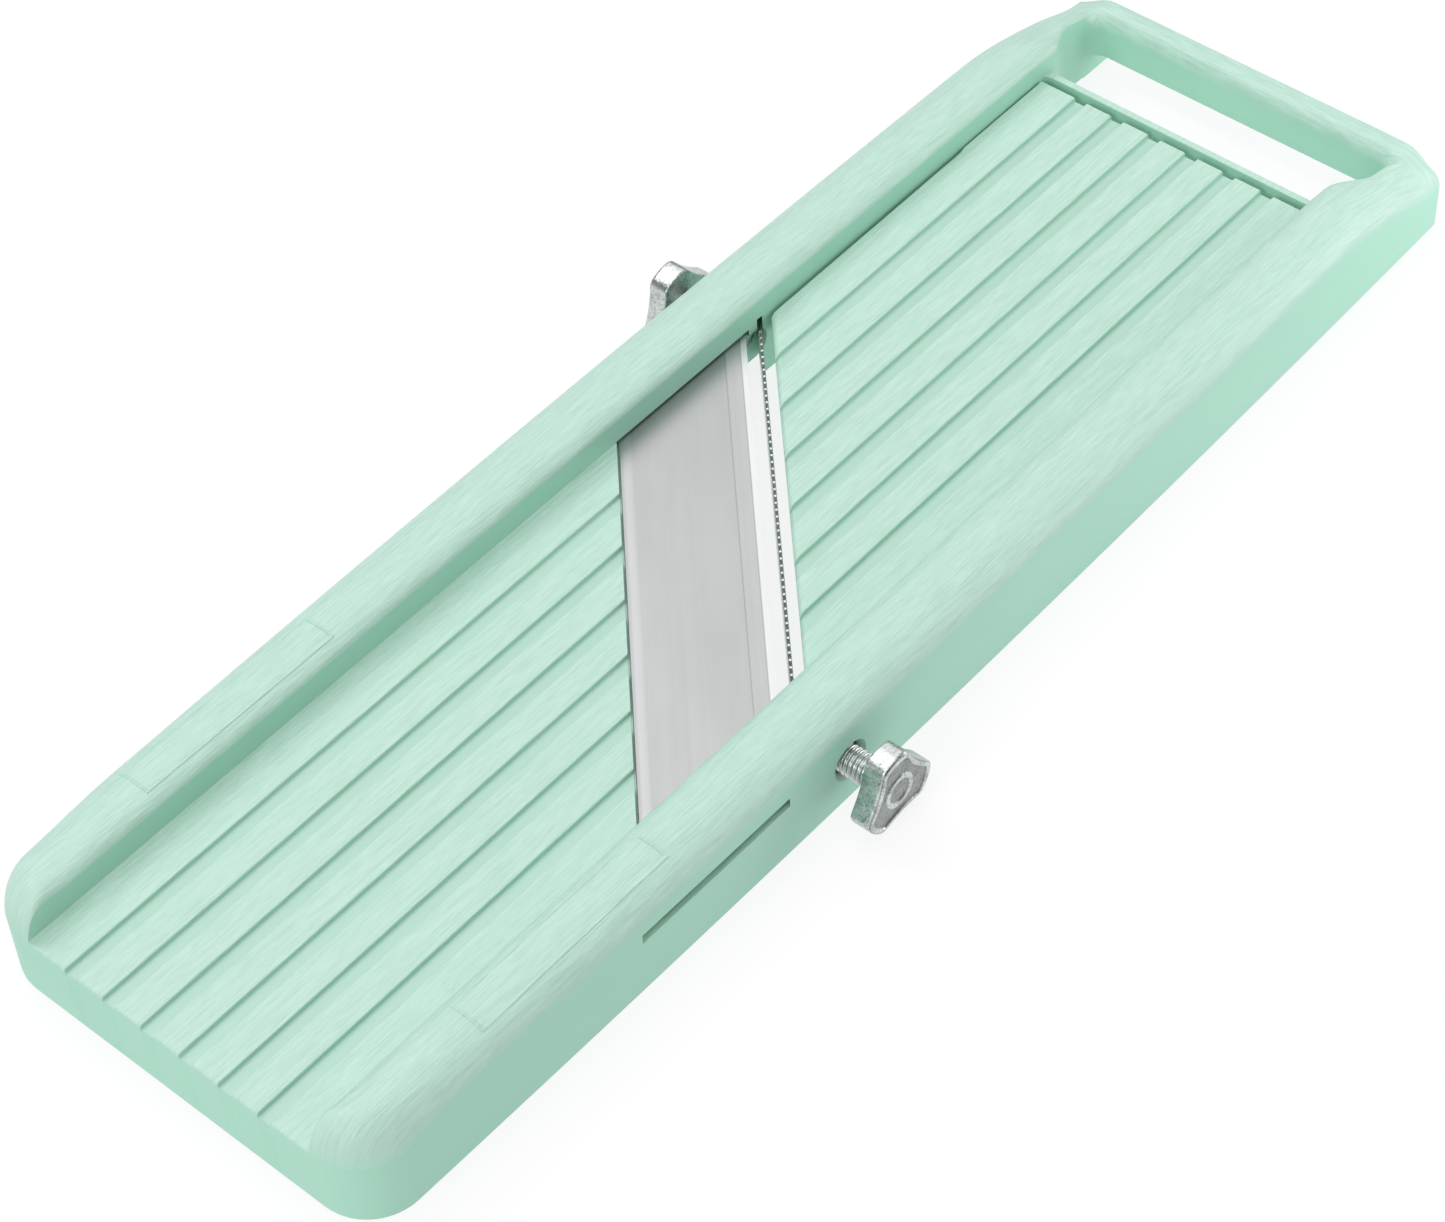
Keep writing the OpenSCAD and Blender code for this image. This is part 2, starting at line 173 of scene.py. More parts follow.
def loft(name, rings):
    """A closed solid through rings of points, with a face over both ends."""
    n = len(rings[0])
    points = [p for ring in rings for p in ring]
    ends = [tuple(range(n)), tuple(range(len(points) - n, len(points)))]
    return mesh_from(name, points, tube_faces(len(rings), n) + ends)


def prism(name, outline, z0, z1):
    """An upright prism on a plan outline."""
    return loft(name, [[(x, y, z) for x, y in outline] for z in (z0, z1)])


def soft_prism(name, outline, z0, z1, bevel):
    """An upright prism whose long edges at both ends are chamfered, for an outline that is convex."""
    cx = sum(p[0] for p in outline) / len(outline)
    cy = sum(p[1] for p in outline) / len(outline)
    half_x = max(abs(p[0] - cx) for p in outline)
    half_y = max(abs(p[1] - cy) for p in outline)
    narrow, short = 1 - bevel / half_x, 1 - bevel / half_y
    inner = [(cx + (x - cx) * narrow, cy + (y - cy) * short) for x, y in outline]
    levels = ((inner, z0), (outline, z0 + bevel), (outline, z1 - bevel), (inner, z1))
    return loft(name, [[(x, y, z) for x, y in ring] for ring, z in levels])


LONGEST_ARC = 0.45  # share of a side that a rounded corner may take


def rounded(corners, radius, steps=4):
    """A plan outline with each corner turned into an arc."""
    out = []
    n = len(corners)
    for i, corner in enumerate(corners):
        here = Vector(corner)
        before = Vector(corners[i - 1]) - here
        after = Vector(corners[(i + 1) % n]) - here
        reach = min(radius, before.length * LONGEST_ARC, after.length * LONGEST_ARC)
        start = here + before.normalized() * reach
        end = here + after.normalized() * reach
        for s in range(steps + 1):
            t = s / steps
            p = start * (1 - t) ** 2 + here * 2 * t * (1 - t) + end * t ** 2
            out.append((p.x, p.y))
    return out


def rectangle(x0, x1, y0, y1):
    return [(x0, y0), (x1, y0), (x1, y1), (x0, y1)]


def slanted_plan(u0, u1, y0, y1):
    """The parallelogram between two lines along the blade and two along the body."""
    return [(slant_x(u0, y0), y0), (slant_x(u1, y0), y0), (slant_x(u1, y1), y1), (slant_x(u0, y1), y1)]


def turned(name, profile, steps=64, loop=False):
    """Rings about Z from (radius, z) pairs, where a radius may be a function of the angle. The ends close on
    the axis, or the last ring joins the first."""
    points = []
    rings = profile if loop else profile[1:-1]
    for radius, z in rings:
        for i in range(steps):
            a = math.tau * i / steps
            r = radius(a) if callable(radius) else radius
            points.append((r * math.cos(a), r * math.sin(a), z))
    faces = tube_faces(len(rings), steps, closed=loop)
    if loop:
        return mesh_from(name, points, faces)
    last = (len(rings) - 1) * steps
    points += [(0, 0, profile[0][1]), (0, 0, profile[-1][1])]
    start, end = len(points) - 2, len(points) - 1
    for i in range(steps):
        faces.append((start, i, (i + 1) % steps))
        faces.append((end, last + i, last + (i + 1) % steps))
    return mesh_from(name, points, faces)


def place(obj, matrix):
    """Moves an object's mesh itself, by a matrix whose shift is in millimetres."""
    moved = matrix.copy()
    moved.translation = moved.translation * MM
    obj.data.transform(moved)
    if moved.determinant() < 0:
        obj.data.flip_normals()
    return obj


def remove(obj):
    mesh = obj.data
    bpy.data.objects.remove(obj)
    bpy.data.meshes.remove(mesh)


def combine(target, tool, how="DIFFERENCE"):
    """Cuts tool from target, or joins it on, and drops the tool."""
    step = target.modifiers.new("step", "BOOLEAN")
    step.operation = how
    step.object = tool
    step.solver = "EXACT"
    result = bpy.data.meshes.new_from_object(target.evaluated_get(bpy.context.evaluated_depsgraph_get()))
    target.modifiers.clear()
    old = target.data
    target.data = result
    bpy.data.meshes.remove(old)
    remove(tool)


def joined(objects):
    """One mesh object out of several that don't overlap."""
    bm = bmesh.new()
    for obj in objects:
        bm.from_mesh(obj.data)
    for obj in objects[1:]:
        remove(obj)
    bm.to_mesh(objects[0].data)
    bm.free()
    return objects[0]


SLIVER = 0.004 * MM


def tidy(obj):
    """Drops slivers and loose points that cutting leaves."""
    bm = bmesh.new()
    bm.from_mesh(obj.data)
    bmesh.ops.remove_doubles(bm, verts=bm.verts, dist=SLIVER)
    bmesh.ops.dissolve_degenerate(bm, edges=bm.edges, dist=SLIVER)
    bmesh.ops.delete(bm, geom=[v for v in bm.verts if not v.link_faces], context="VERTS")
    bmesh.ops.recalc_face_normals(bm, faces=bm.faces)
    bm.to_mesh(obj.data)
    bm.free()


CREASE = 32.0  # degrees at which an edge looks sharp
THREAD_CREASE = 80.0
BLADE_CREASE = 1.5
FACE_WEIGHT = 70  # how much the larger faces lead the smooth shading


def finish_piece(obj, name, material, body, node, crease=CREASE):
    """Names a piece, shades it smooth up to its creases, ties it to its body and material slot, and hides
    the CAD node that it replaces.
    """
    obj.name = name
    obj.data.name = name
    obj.data.materials.clear()
    obj.data.materials.append(material)
    obj.data.shade_smooth()
    obj.data.set_sharp_from_angle(angle=math.radians(crease))
    weighted = obj.modifiers.new("even_normals", "WEIGHTED_NORMAL")
    weighted.keep_sharp = True
    weighted.weight = FACE_WEIGHT
    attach(obj, body)
    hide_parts(node)


# ------------ the body's outer shape
def half_w(x):
    return HALF_W - SIDE_BULGE * (x / HALF_LEN) ** 2


FRONT_CX = FRONT_R - HALF_LEN
BACK_CX = HALF_LEN - BACK_R
FRONT_CY = half_w(FRONT_CX) - FRONT_R
BACK_CY = half_w(BACK_CX) - BACK_R


def outline_y(x):
    """Half of the body's width at x, round corners included."""
    if x < FRONT_CX:
        return FRONT_CY + math.sqrt(max(FRONT_R ** 2 - (x - FRONT_CX) ** 2, 0))
    if x > BACK_CX:
        return BACK_CY + math.sqrt(max(BACK_R ** 2 - (x - BACK_CX) ** 2, 0))
    return half_w(x)


def outer_gap(x, y):
    """How far inside the body's outline a point is."""
    y = abs(y)
    if x < FRONT_CX and y > FRONT_CY:
        return FRONT_R - math.hypot(x - FRONT_CX, y - FRONT_CY)
    if x > BACK_CX and y > BACK_CY:
        return BACK_R - math.hypot(x - BACK_CX, y - BACK_CY)
    return min(half_w(x) - y, x + HALF_LEN, HALF_LEN - x)


CORNER_CX = BAR_X - FILLET
CORNER_CY = CHANNEL + FLARE - FILLET
FLARE_START = OPENING_X + 0.5
FLARE_LEN = 11.0
RAMP_EDGE = 0.5  # radius of the ramp's front edge
FALL_START = 124.0
FALL_LEAD = 8.0  # how much sooner a rail falls on its outside
FALL_END = 160.0
CORNER_DROP = 1.3  # how much lower the handle's outer corners are


def inner_y(x):
    """Half of the width between the rails at x: straight, then flared, then round into the handle bar."""
    if x > CORNER_CX:
        return CORNER_CY + math.sqrt(max(FILLET ** 2 - (x - CORNER_CX) ** 2, 0))
    return CHANNEL + FLARE * rise(x, FLARE_START, FLARE_LEN)


def inner_gap(x, y):
    """How far a point on top is from the edge of the channel or of the hand opening."""
    y = abs(y)
    if x > CORNER_CX and y > CORNER_CY:
        return math.hypot(x - CORNER_CX, y - CORNER_CY) - FILLET
    if x > CORNER_CX:
        return x - BAR_X
    return y - inner_y(x)


def ramp_front(x):
    """Height of the ramp, whose front edge is slightly round."""
    gap = clamp((x + HALF_LEN) / RAMP_EDGE)
    return RAMP_Z - RAMP_EDGE * (1 - math.sqrt(1 - (1 - gap) ** 2))


def crest(x, y):
    """Height of a rail before its edges are rounded. It falls towards the handle, sooner on the outside."""
    outward = clamp((abs(y) - CHANNEL) / (HALF_W - CHANNEL))
    start = FALL_START - FALL_LEAD * outward
    corner = CORNER_DROP * rise(abs(y), 36, 10) * rise(x, 140, 15)
    return lerp(CROWN_H, BAR_TOP, rise(x, start, FALL_END - start)) - corner


# Height and reach of the outer shoulder, along the rails, at the nose, and on the handle's back and sides
RAIL_SHOULDER = (5.2, 7.5)
NOSE_SHOULDER = (CROWN_H - RAMP_Z - 0.1, 6.5)
BACK_SHOULDER = (0.5, 0.7)
CORNER_SHOULDER = (5.8, 7.0)
# The same for the inner edge, at the nose, along the rails, beside the opening and on the handle bar
NOSE_INNER = (0.6, 1.2)
RAIL_INNER = (2.8, 5.0)
OPENING_INNER = (0.9, 0.9)
BAR_INNER = (4.5, 3.2)


def blend(a, b, t):
    """Two (height, reach) pairs mixed."""
    return lerp(a[0], b[0], t), lerp(a[1], b[1], t)


def round_corner(x, y):
    """How far a point has gone round the handle's corner: 0 on the back face, 1 on the side."""
    along = x - (HALF_LEN - SHOULDER_R)
    across = abs(y) - (half_w(x) - SHOULDER_R)
    if along <= 0:
        return 1
    return math.atan2(max(across, 0), along) / (math.pi / 2)


def shoulder(x, y):
    """Height and reach of the round outer shoulder, and how sharply it starts."""
    nose = 1 - rise(x, -HALF_LEN, 30)
    handle = rise(x, 134, 22)
    corner = smooth(1.6 * round_corner(x, y))
    front = blend(RAIL_SHOULDER, NOSE_SHOULDER, nose)
    rear = blend(BACK_SHOULDER, CORNER_SHOULDER, corner)
    return *blend(front, rear, handle), 0.03 * nose


def inner_edge(x):
    """Height and reach of the soft edge between a rail's crown and its inner wall."""
    nose = rise(x, -HALF_LEN, 9)
    handle = rise(x, 126, 20)
    bar = smooth((x - BAR_X + FILLET) / FILLET)
    return blend(blend(blend(NOSE_INNER, RAIL_INNER, nose), OPENING_INNER, handle), BAR_INNER, bar)


def rounded_drop(gap, height, reach, start=0.0):
    """How far an elliptic edge has dropped at a gap from its rim. start is the share of the ellipse that is
    left out."""
    t = start + (1 - start) * clamp(gap / reach)
    full = 1 - math.sqrt(1 - (1 - start) ** 2)
    return height * (1 - math.sqrt(1 - (1 - t) ** 2)) / full


def top_z(x, y):
    """Height of the rails and the handle bar over a point."""
    outer = rounded_drop(outer_gap(x, y), *shoulder(x, y))
    return crest(x, y) - outer - rounded_drop(inner_gap(x, y), *inner_edge(x))


def rail_rows(x):
    """One rail's section from its outer bottom edge to the foot of its inner wall, as |y| and z."""
    out_y = outline_y(x)
    in_y = inner_y(x)
    inner_reach = min(inner_edge(x)[1], (out_y - in_y) * 0.45)
    reach = min(shoulder(x, out_y)[1], (out_y - in_y - inner_reach) * 0.9)
    wall_top = top_z(x, out_y)
    rows = [(out_y - FOOT_R, 0), (out_y - FOOT_R * 0.3, FOOT_R * 0.3), (out_y, FOOT_R)]
    rows += [(out_y, lerp(FOOT_R, wall_top, s)) for s in (0.3, 0.6, 0.85, 1)]
    for a in turns(14)[1:]:
        y = out_y - reach * (1 - math.cos(a))
        rows.append((y, top_z(x, y)))
    for y in spaced(out_y - reach, in_y + inner_reach, 3)[1:-1]:
        rows.append((y, top_z(x, y)))
    for a in turns(9):
        y = in_y + inner_reach * (1 - math.sin(a))
        rows.append((y, top_z(x, y)))
    return rows, in_y, rows[-1][1]


def groove_rows():
    """The ramp's or the plate's section over its grooves, as y and depth below the top."""
    rows = []
    half = GROOVE_W / 2
    for i in range(GROOVES):
        middle = (i - (GROOVES - 1) / 2) * GROOVE_PITCH
        side = [(half + 0.36, 0), (half + 0.17, 0.05), (half + 0.04, 0.2), (half - 0.04, GROOVE_D - 0.25),
                (half - 0.16, GROOVE_D - 0.05), (half - 0.4, GROOVE_D)]
        rows += [(middle - y, d) for y, d in side]
        rows += [(middle + y, d) for y, d in reversed(side)]
        if i < GROOVES - 1:
            rows.append((middle + GROOVE_PITCH / 2, 0))
    return rows


DECK_X = DECK_U / COS_SLANT
SHEAR_X = (-100.0, 95.0)  # between these the mesh lines lean towards the blade's slant


def shear(mid_x):
    """How much of the blade's slant the mesh lines follow at a station."""
    if mid_x < DECK_X:
        return rise(mid_x, SHEAR_X[0], DECK_X - SHEAR_X[0])
    return 1 - rise(mid_x, DECK_X, SHEAR_X[1] - DECK_X)


def station_x(mid_x, y):
    """Where a station's mesh line, which crosses the middle plane at mid_x, is at y."""
    return mid_x + shear(mid_x) * clamp(y, -CHANNEL, CHANNEL) * math.tan(SLANT)


def body_shell():
    """The closed outer form: both rails, the ramp as far as its slanted edge, and the handle bar."""
    front = [RAMP_EDGE * (1 - math.cos(a)) - HALF_LEN for a in turns(5)]
    front += [RAMP_EDGE - HALF_LEN + (FRONT_R - RAMP_EDGE) * (1 - math.cos(a)) for a in turns(16)[1:]]
    front += spaced(front[-1], DECK_X, 36)[1:]
    rear = spaced(DECK_X, 100, 22)[1:] + spaced(100, CORNER_CX, 32)[1:]
    rear += [CORNER_CX + FILLET * math.sin(a) for a in turns(10)[1:]]
    bar = [BAR_X + BAR_INNER[1] * (1 - math.cos(a)) for a in turns(10)[1:]]
    bar += [BACK_CX + 0.4] + [BACK_CX + BACK_R * math.sin(a) for a in turns(10)[2:]]
    deck_row = len(front) - 1
    bar_row = len(front) + len(rear) - 1
    stations = front + rear + bar
    points = []

    def add(mid_x, y, z):
        points.append((station_x(mid_x, y), y, z))
        return len(points) - 1

    rails = {-1: [], 1: []}
    walls = {-1: [], 1: []}
    fillets = {-1: [], 1: []}
    ramp = []
    span = []
    for i, mid_x in enumerate(stations):
        for side in (-1, 1):
            x = station_x(mid_x, side * CHANNEL)
            rows, in_y, edge_z = rail_rows(x)
            rails[side].append([add(mid_x, side * y, z) for y, z in rows])
            floor = ramp_front(x)
            curve = min(0.35, max(edge_z - floor, 0) * 0.4)
            foot_z = floor + curve if i <= deck_row else min(RAMP_Z + 0.9, edge_z - 1.2)
            heights = [lerp(edge_z, foot_z, 0.5), foot_z]
            if deck_row <= i <= bar_row:
                heights += [10, 5, FOOT_R]
            if i <= bar_row:
                wall = [add(mid_x, side * in_y, z) for z in heights]
                if i >= deck_row:
                    wall.append(add(mid_x, side * (in_y + FOOT_R), 0))
                walls[side].append(wall)
            if i <= deck_row:
                fillets[side].append([add(mid_x, side * (in_y - curve * (1 - math.cos(a))),
                                          floor + curve * (1 - math.sin(a))) for a in turns(4)[1:]])
        if i <= deck_row:
            ramp.append([add(mid_x, y, ramp_front(station_x(mid_x, y)) - d) for y, d in groove_rows()])
        if i >= bar_row:
            reach = inner_y(BAR_X)
            span.append([add(mid_x, y, top_z(mid_x, y)) for y in spaced(-reach, reach, 24)[1:-1]])

    def band(i, chain):
        """Quads between a chain of points at one station and the same chain at the next."""
        a, b = chain(i), chain(i + 1)
        return [(a[k], a[k + 1], b[k + 1], b[k]) for k in range(len(a) - 1)]

    faces = []
    for i in range(len(stations) - 1):
        for side in (-1, 1):
            rail, wall, fillet = rails[side], walls[side], fillets[side]
            faces += band(i, lambda k: rail[k])
            if i < bar_row:
                shared = 2 if i < deck_row else 6
                faces += band(i, lambda k: [rail[k][-1]] + wall[k][:shared])
            if i < deck_row:
                faces += band(i, lambda k: [wall[k][1]] + fillet[k])
            elif i < bar_row:
                faces.append((rail[i][0], rail[i + 1][0], wall[i + 1][-1], wall[i][-1]))
        if i < deck_row:
            faces += band(i, lambda k: [fillets[-1][k][-1]] + ramp[k] + [fillets[1][k][-1]])
        if i >= bar_row:
            faces += band(i, lambda k: [rails[-1][k][-1]] + span[k - bar_row] + [rails[1][k][-1]])
    near, far = rails[-1], rails[1]
    # front face, slanted end of the ramp, inner face of the bar, and back face
    faces.append(near[0] + walls[-1][0] + fillets[-1][0] + ramp[0]
                 + fillets[1][0][::-1] + walls[1][0][::-1] + far[0][::-1])
    deck_wall = {s: walls[s][deck_row] for s in (-1, 1)}
    faces.append(deck_wall[-1][4:0:-1] + fillets[-1][deck_row] + ramp[deck_row]
                 + fillets[1][deck_row][::-1] + deck_wall[1][1:5])
    bar_wall = {s: walls[s][bar_row] for s in (-1, 1)}
    faces.append(bar_wall[-1][4::-1] + [near[bar_row][-1]] + span[0] + [far[bar_row][-1]] + bar_wall[1][:5])
    for wall in (deck_wall, bar_wall):
        faces.append((wall[-1][4], wall[1][4], wall[1][5], wall[-1][5]))
    faces.append(near[-1] + span[-1] + far[-1][::-1])
    # underside of the front half, and of the handle bar
    faces.append([r[0] for r in near[:deck_row + 1]] + [deck_wall[-1][5], deck_wall[1][5]]
                 + [r[0] for r in far[deck_row::-1]])
    faces.append([bar_wall[-1][5]] + [r[0] for r in near[bar_row:]] + [r[0] for r in far[:bar_row - 1:-1]]
                 + [bar_wall[1][5]])
    return mesh_from("body", points, faces, merge=0.002)


# ------------ what is joined to and cut from the body
def slanted_prism(name, u, y, z):
    return prism(name, slanted_plan(u[0], u[1], y[0], y[1]), z[0], z[1])


def lying(obj, x, y, z, side):
    """Lays a solid drawn along Z on its side, pointing away from the middle plane."""
    turn = Matrix.Rotation(math.radians(-90 * side), 4, "X")
    return place(obj, Matrix.Translation((x, y, z)) @ turn)


BELOW = -1.0  # a level under the table, for cuts that open downwards
WEB_FLARE = 1.2
CROSS_REACH = CHANNEL + 0.8  # how far a crossmember goes into the rails
CROSS_HALF = 6.0
CROSS_MIDDLE = 12.5
CROSS_Z = (2.5, 6.5, 8.0)  # underside at the rails, underside at the screw, top
RAIL_CELL_Y = (CHANNEL + WALL, 44.6)
RAIL_CELL_TOP = 19.4
RAMP_CELLS_X = [(-154.3, -128), (-126, -100), (-98, -72)]
RAMP_CELLS_Y = [(-33.4, -12.4), (-10.4, 10.4), (12.4, 33.4)]
LAST_CELL_X = -70
POCKET_Y = (41.1, 45.3)
POCKET_HALF = 5.1
BLADE_SEAT_Y = (-46.3, 38.2)
BLADE_SLOT_Y = (-60.0, -44.4)
COMB_SLOT_Y = (-41.3, 38.5)
COMB_SLOT_TOP = 15.9
LABEL_X = (-125.5, -78.8)
LABEL_Y = (36.2, 43.8)
# The label frame's section, as distance inwards and height above the rail
LABEL_SECTION = [(0, -0.3), (0.1, 0.15), (0.22, LABEL_LIFT), (0.42, LABEL_LIFT), (0.54, 0.15), (0.64, -0.3)]


def additions():
    """The rear crossmember and the cross-bar under the plate."""
    flare = WEB_FLARE
    rim = -CHANNEL + flare
    bend = -CHANNEL + flare * 0.3
    web = [(WEB_X, rim), (WEB_X - flare * 0.3, bend), (WEB_X - flare, -CROSS_REACH)]
    web += [(OPENING_X + flare, -CROSS_REACH), (OPENING_X + flare * 0.3, bend), (OPENING_X, rim)]
    web += [(x, -y) for x, y in reversed(web)]
    yield soft_prism("web", web[::-1], 4, BAR_TOP, 0.3)
    low, middle, top = CROSS_Z
    x0, x1 = ADJUSTER_X - CROSS_HALF, ADJUSTER_X + CROSS_HALF
    foot = CROSS_MIDDLE - 1
    for y0, y1 in ((-CROSS_REACH, -foot), (foot, CROSS_REACH)):
        yield soft_prism("foot", rectangle(x0, x1, y0, y1), low, top, 0.35)
    bar = rectangle(x0 + 0.01, x1 - 0.01, -CROSS_MIDDLE, CROSS_MIDDLE)
    yield soft_prism("bar", bar, middle, top - 0.01, 0.3)
    hub = [(0, 5), (5.5, 5), (5.8, 5.3), (5.8, 7.7), (5.5, top + 0.01), (0, top + 0.01)]
    yield place(turned("hub", hub, 48), AT_ADJUSTER)


def rail_cells(side, stretches):
    """The open cells in the underside of a rail."""
    y0, y1 = sorted(side * y for y in RAIL_CELL_Y)
    for x0, x1 in stretches:
        yield prism("cell", rounded(rectangle(x0, x1, y0, y1), 1.6), BELOW, RAIL_CELL_TOP)


def ramp_cells():
    """The open cells under the ramp."""
    top = RAMP_Z - RAMP_T
    for y0, y1 in RAMP_CELLS_Y:
        plans = [rectangle(x0, x1, y0, y1) for x0, x1 in RAMP_CELLS_X]
        u = DECK_U - WALL
        plans.append([(LAST_CELL_X, y0), (slant_x(u, y0), y0), (slant_x(u, y1), y1), (LAST_CELL_X, y1)])
        for plan in plans:
            yield prism("cell", rounded(plan, 2), BELOW, top)


def screw_cuts(side):
    """Bore and nut pocket of one side screw."""
    x = side * SCREW_X
    bore = turned("bore", [(0, -4), (3.4, -4), (3.4, 12.9), (4.4, 14.2), (4.4, 20), (0, 20)], 48)
    yield lying(bore, x, side * CHANNEL, SCREW_Z, side)
    y0, y1 = sorted(side * y for y in POCKET_Y)
    plan = rectangle(x - POCKET_HALF, x + POCKET_HALF, y0, y1)
    yield prism("pocket", plan, BELOW, SCREW_Z + POCKET_HALF)


def blade_cuts():
    """The blade's seat and slots, the comb's slot and the windows beside its feet."""
    back = EDGE_U - BLADE_W - 0.35
    front = EDGE_U + 0.7
    low, high = SLOT_Z
    yield slanted_prism("seat", (back, front), BLADE_SEAT_Y, (SEAT_Z, high))
    yield slanted_prism("slot", (back + 0.02, front - 0.02), BLADE_SLOT_Y, (low, high - 0.02))
    half = COMB_T / 2 + 0.2
    yield slanted_prism("comb_slot", (COMB_U - half, COMB_U + half), COMB_SLOT_Y, (BELOW, COMB_SLOT_TOP))
    window_z = (BELOW - 0.1, WINDOW_TOP)
    yield slanted_prism("window", (DECK_U + 0.6, COMB_U), (20, COMB_SLOT_Y[1] - 0.1), window_z)
    yield slanted_prism("window", (COMB_U, COMB_U - DECK_U), (COMB_SLOT_Y[0] + 0.1, -20), window_z)


def under_bar():
    """The space under the handle bar."""
    reach = CHANNEL + FLARE + 0.02
    plan = rectangle(CORNER_CX - 0.3, HALF_LEN + 4, -reach, reach)
    return prism("under_bar", plan, BELOW, BAR_BOTTOM)


def label_frame(side):
    """A thin raised frame on top of a rail, following its crown."""
    corners = rectangle(*LABEL_X, *LABEL_Y)
    path = []
    for k in range(4):
        a, b = corners[k], corners[(k + 1) % 4]
        steps = 24 if k % 2 == 0 else 6
        path += [(lerp(a[0], b[0], i / steps), lerp(a[1], b[1], i / steps)) for i in range(steps)]

    def inward(v, ends):
        return (v == ends[0]) - (v == ends[1])

    points = [(x + inset * inward(x, LABEL_X), side * (y + inset * inward(y, LABEL_Y)), top_z(x, y) + lift)
              for x, y in path for inset, lift in LABEL_SECTION]
    return mesh_from("label_frame", points, tube_faces(len(path), len(LABEL_SECTION), closed=True))


# Where the cells of the far and of the near rail lie along the body
FAR_CELLS = [(-145, -118), (-116, -89), (-87, -59), (-57, -29), (-27, 0), (2, 26),
             (44.5, 68), (70, 94), (96, 118)]
NEAR_CELLS = [(-145, -118), (-116, -93), (-91, -68), (-66, -44.5), (-26, -2), (0, 27),
              (29, 57), (59, 87), (89, 118)]


def build_body():
    """The moulding: its outer form, what is joined to it, and then everything cut from it."""
    shell = body_shell()
    for part in additions():
        combine(shell, part, "UNION")
    for side in (-1, 1):
        combine(shell, label_frame(side), "UNION")
    cells = [*rail_cells(1, FAR_CELLS), *rail_cells(-1, NEAR_CELLS), *ramp_cells()]
    cuts = [joined(cells), under_bar(), *screw_cuts(-1), *screw_cuts(1), *blade_cuts()]
    rod = [(0, -38), (1.5, -38), (1.5, 38), (0, 38)]
    cuts.append(lying(turned("rod_bore", rod, 32), HINGE.x, 0, HINGE.z, 1))
    insert = [(0, 0), (4.2, 0), (4.2, 12), (0, 12)]
    cuts.append(place(turned("insert_bore", insert, 48), AT_ADJUSTER))
    for part in cuts:
        combine(shell, part)
    tidy(shell)
    return shell


# ------------ the tilting plate
# The plate is made about its hinge and then tilted by its slope. Its saddle is made in the part's own frame.
PLATE_BACK = 4.0
PLATE_BACK_R = 0.4
PLATE_RISE = 4.58
PLATE_T = 2.6
PLATE_BOTTOM = PLATE_RISE - PLATE_T
PLATE_HALF = 33.1
PLATE_STEP_X = 100.0  # where the plate gets wider
PLATE_STEP = 0.4  # how much wider, on each side
PLATE_SLOPE = math.radians(0.38)
SKIRT_LOW = PLATE_BOTTOM - 2.4
RIBS_Y = [(-PLATE_HALF + 0.1, -31.1), (-12, -10), (10, 12), (31.1, PLATE_HALF - 0.1)]
ROD_CHAMFER = 0.3
BARREL_R = 3.2
BARREL_HALF = 33.0
SADDLE_Z = (10.45, 13.35)
SADDLE_HALF = (7.0, 8.0)


def plate_slab():
    """The grooved slab, about the hinge, with a chamfer along its slanted edge."""
    chamfer = [(0, 0.75), (0.25, 0.4), (0.55, 0.12), (0.95, 0)]
    edge = [(0, 0.4), (0.03, 0.2), (0.12, 0.06), (0.35, 0)]
    round_back = PLATE_BACK - PLATE_BACK_R
    # Each section lies along the slanted edge, along the back, or a share of the way between
    steps = [("front", u, d) for u, d in chamfer] + [("middle", k / 60, 0) for k in range(1, 61)]
    steps += [("back", 0.1, 0.03), ("back", 0.3, 0.12), ("back", 0.4, 0.35)]

    def half_at(x):
        return PLATE_HALF + PLATE_STEP * smooth((x + HINGE.x - PLATE_STEP_X) / 0.8 + 0.5)

    def at(kind, amount, y):
        x = slant_x(PLATE_U, y) - HINGE.x
        start = x + chamfer[-1][0] / COS_SLANT
        if kind == "front":
            return x + amount / COS_SLANT
        if kind == "middle":
            return lerp(start, round_back, amount)
        return round_back + amount

    rings = []
    for kind, amount, drop in steps:
        near, far = (half_at(at(kind, amount, side * PLATE_HALF)) for side in (-1, 1))
        top = [(inset - near, d) for inset, d in edge] + groove_rows()
        top += [(far - inset, d) for inset, d in reversed(edge)]
        ring = [(y, PLATE_RISE - d - drop) for y, d in top]
        ring = [(-near, PLATE_BOTTOM)] + ring + [(far, PLATE_BOTTOM)]
        rings.append([(at(kind, amount, y), y, z) for y, z in ring])
    return loft("plate", rings)


def keyhole(name, radius, z0, z1):
    """A round hole at the thickness screw that is open towards the blade."""
    mouth = ADJUSTER_X - 9
    arc = [(ADJUSTER_X + radius * math.cos(a), radius * math.sin(a)) for a in turns(16, -90, 90)]
    return prism(name, [(mouth, -radius)] + arc + [(mouth, radius)], z0, z1)


def rod_profile(radius, half):
    """A plain rod's profile, chamfered at both ends."""
    narrow, short = radius - ROD_CHAMFER, half - ROD_CHAMFER
    return [(0, -half), (narrow, -half), (radius, -short), (radius, short), (narrow, half), (0, half)]


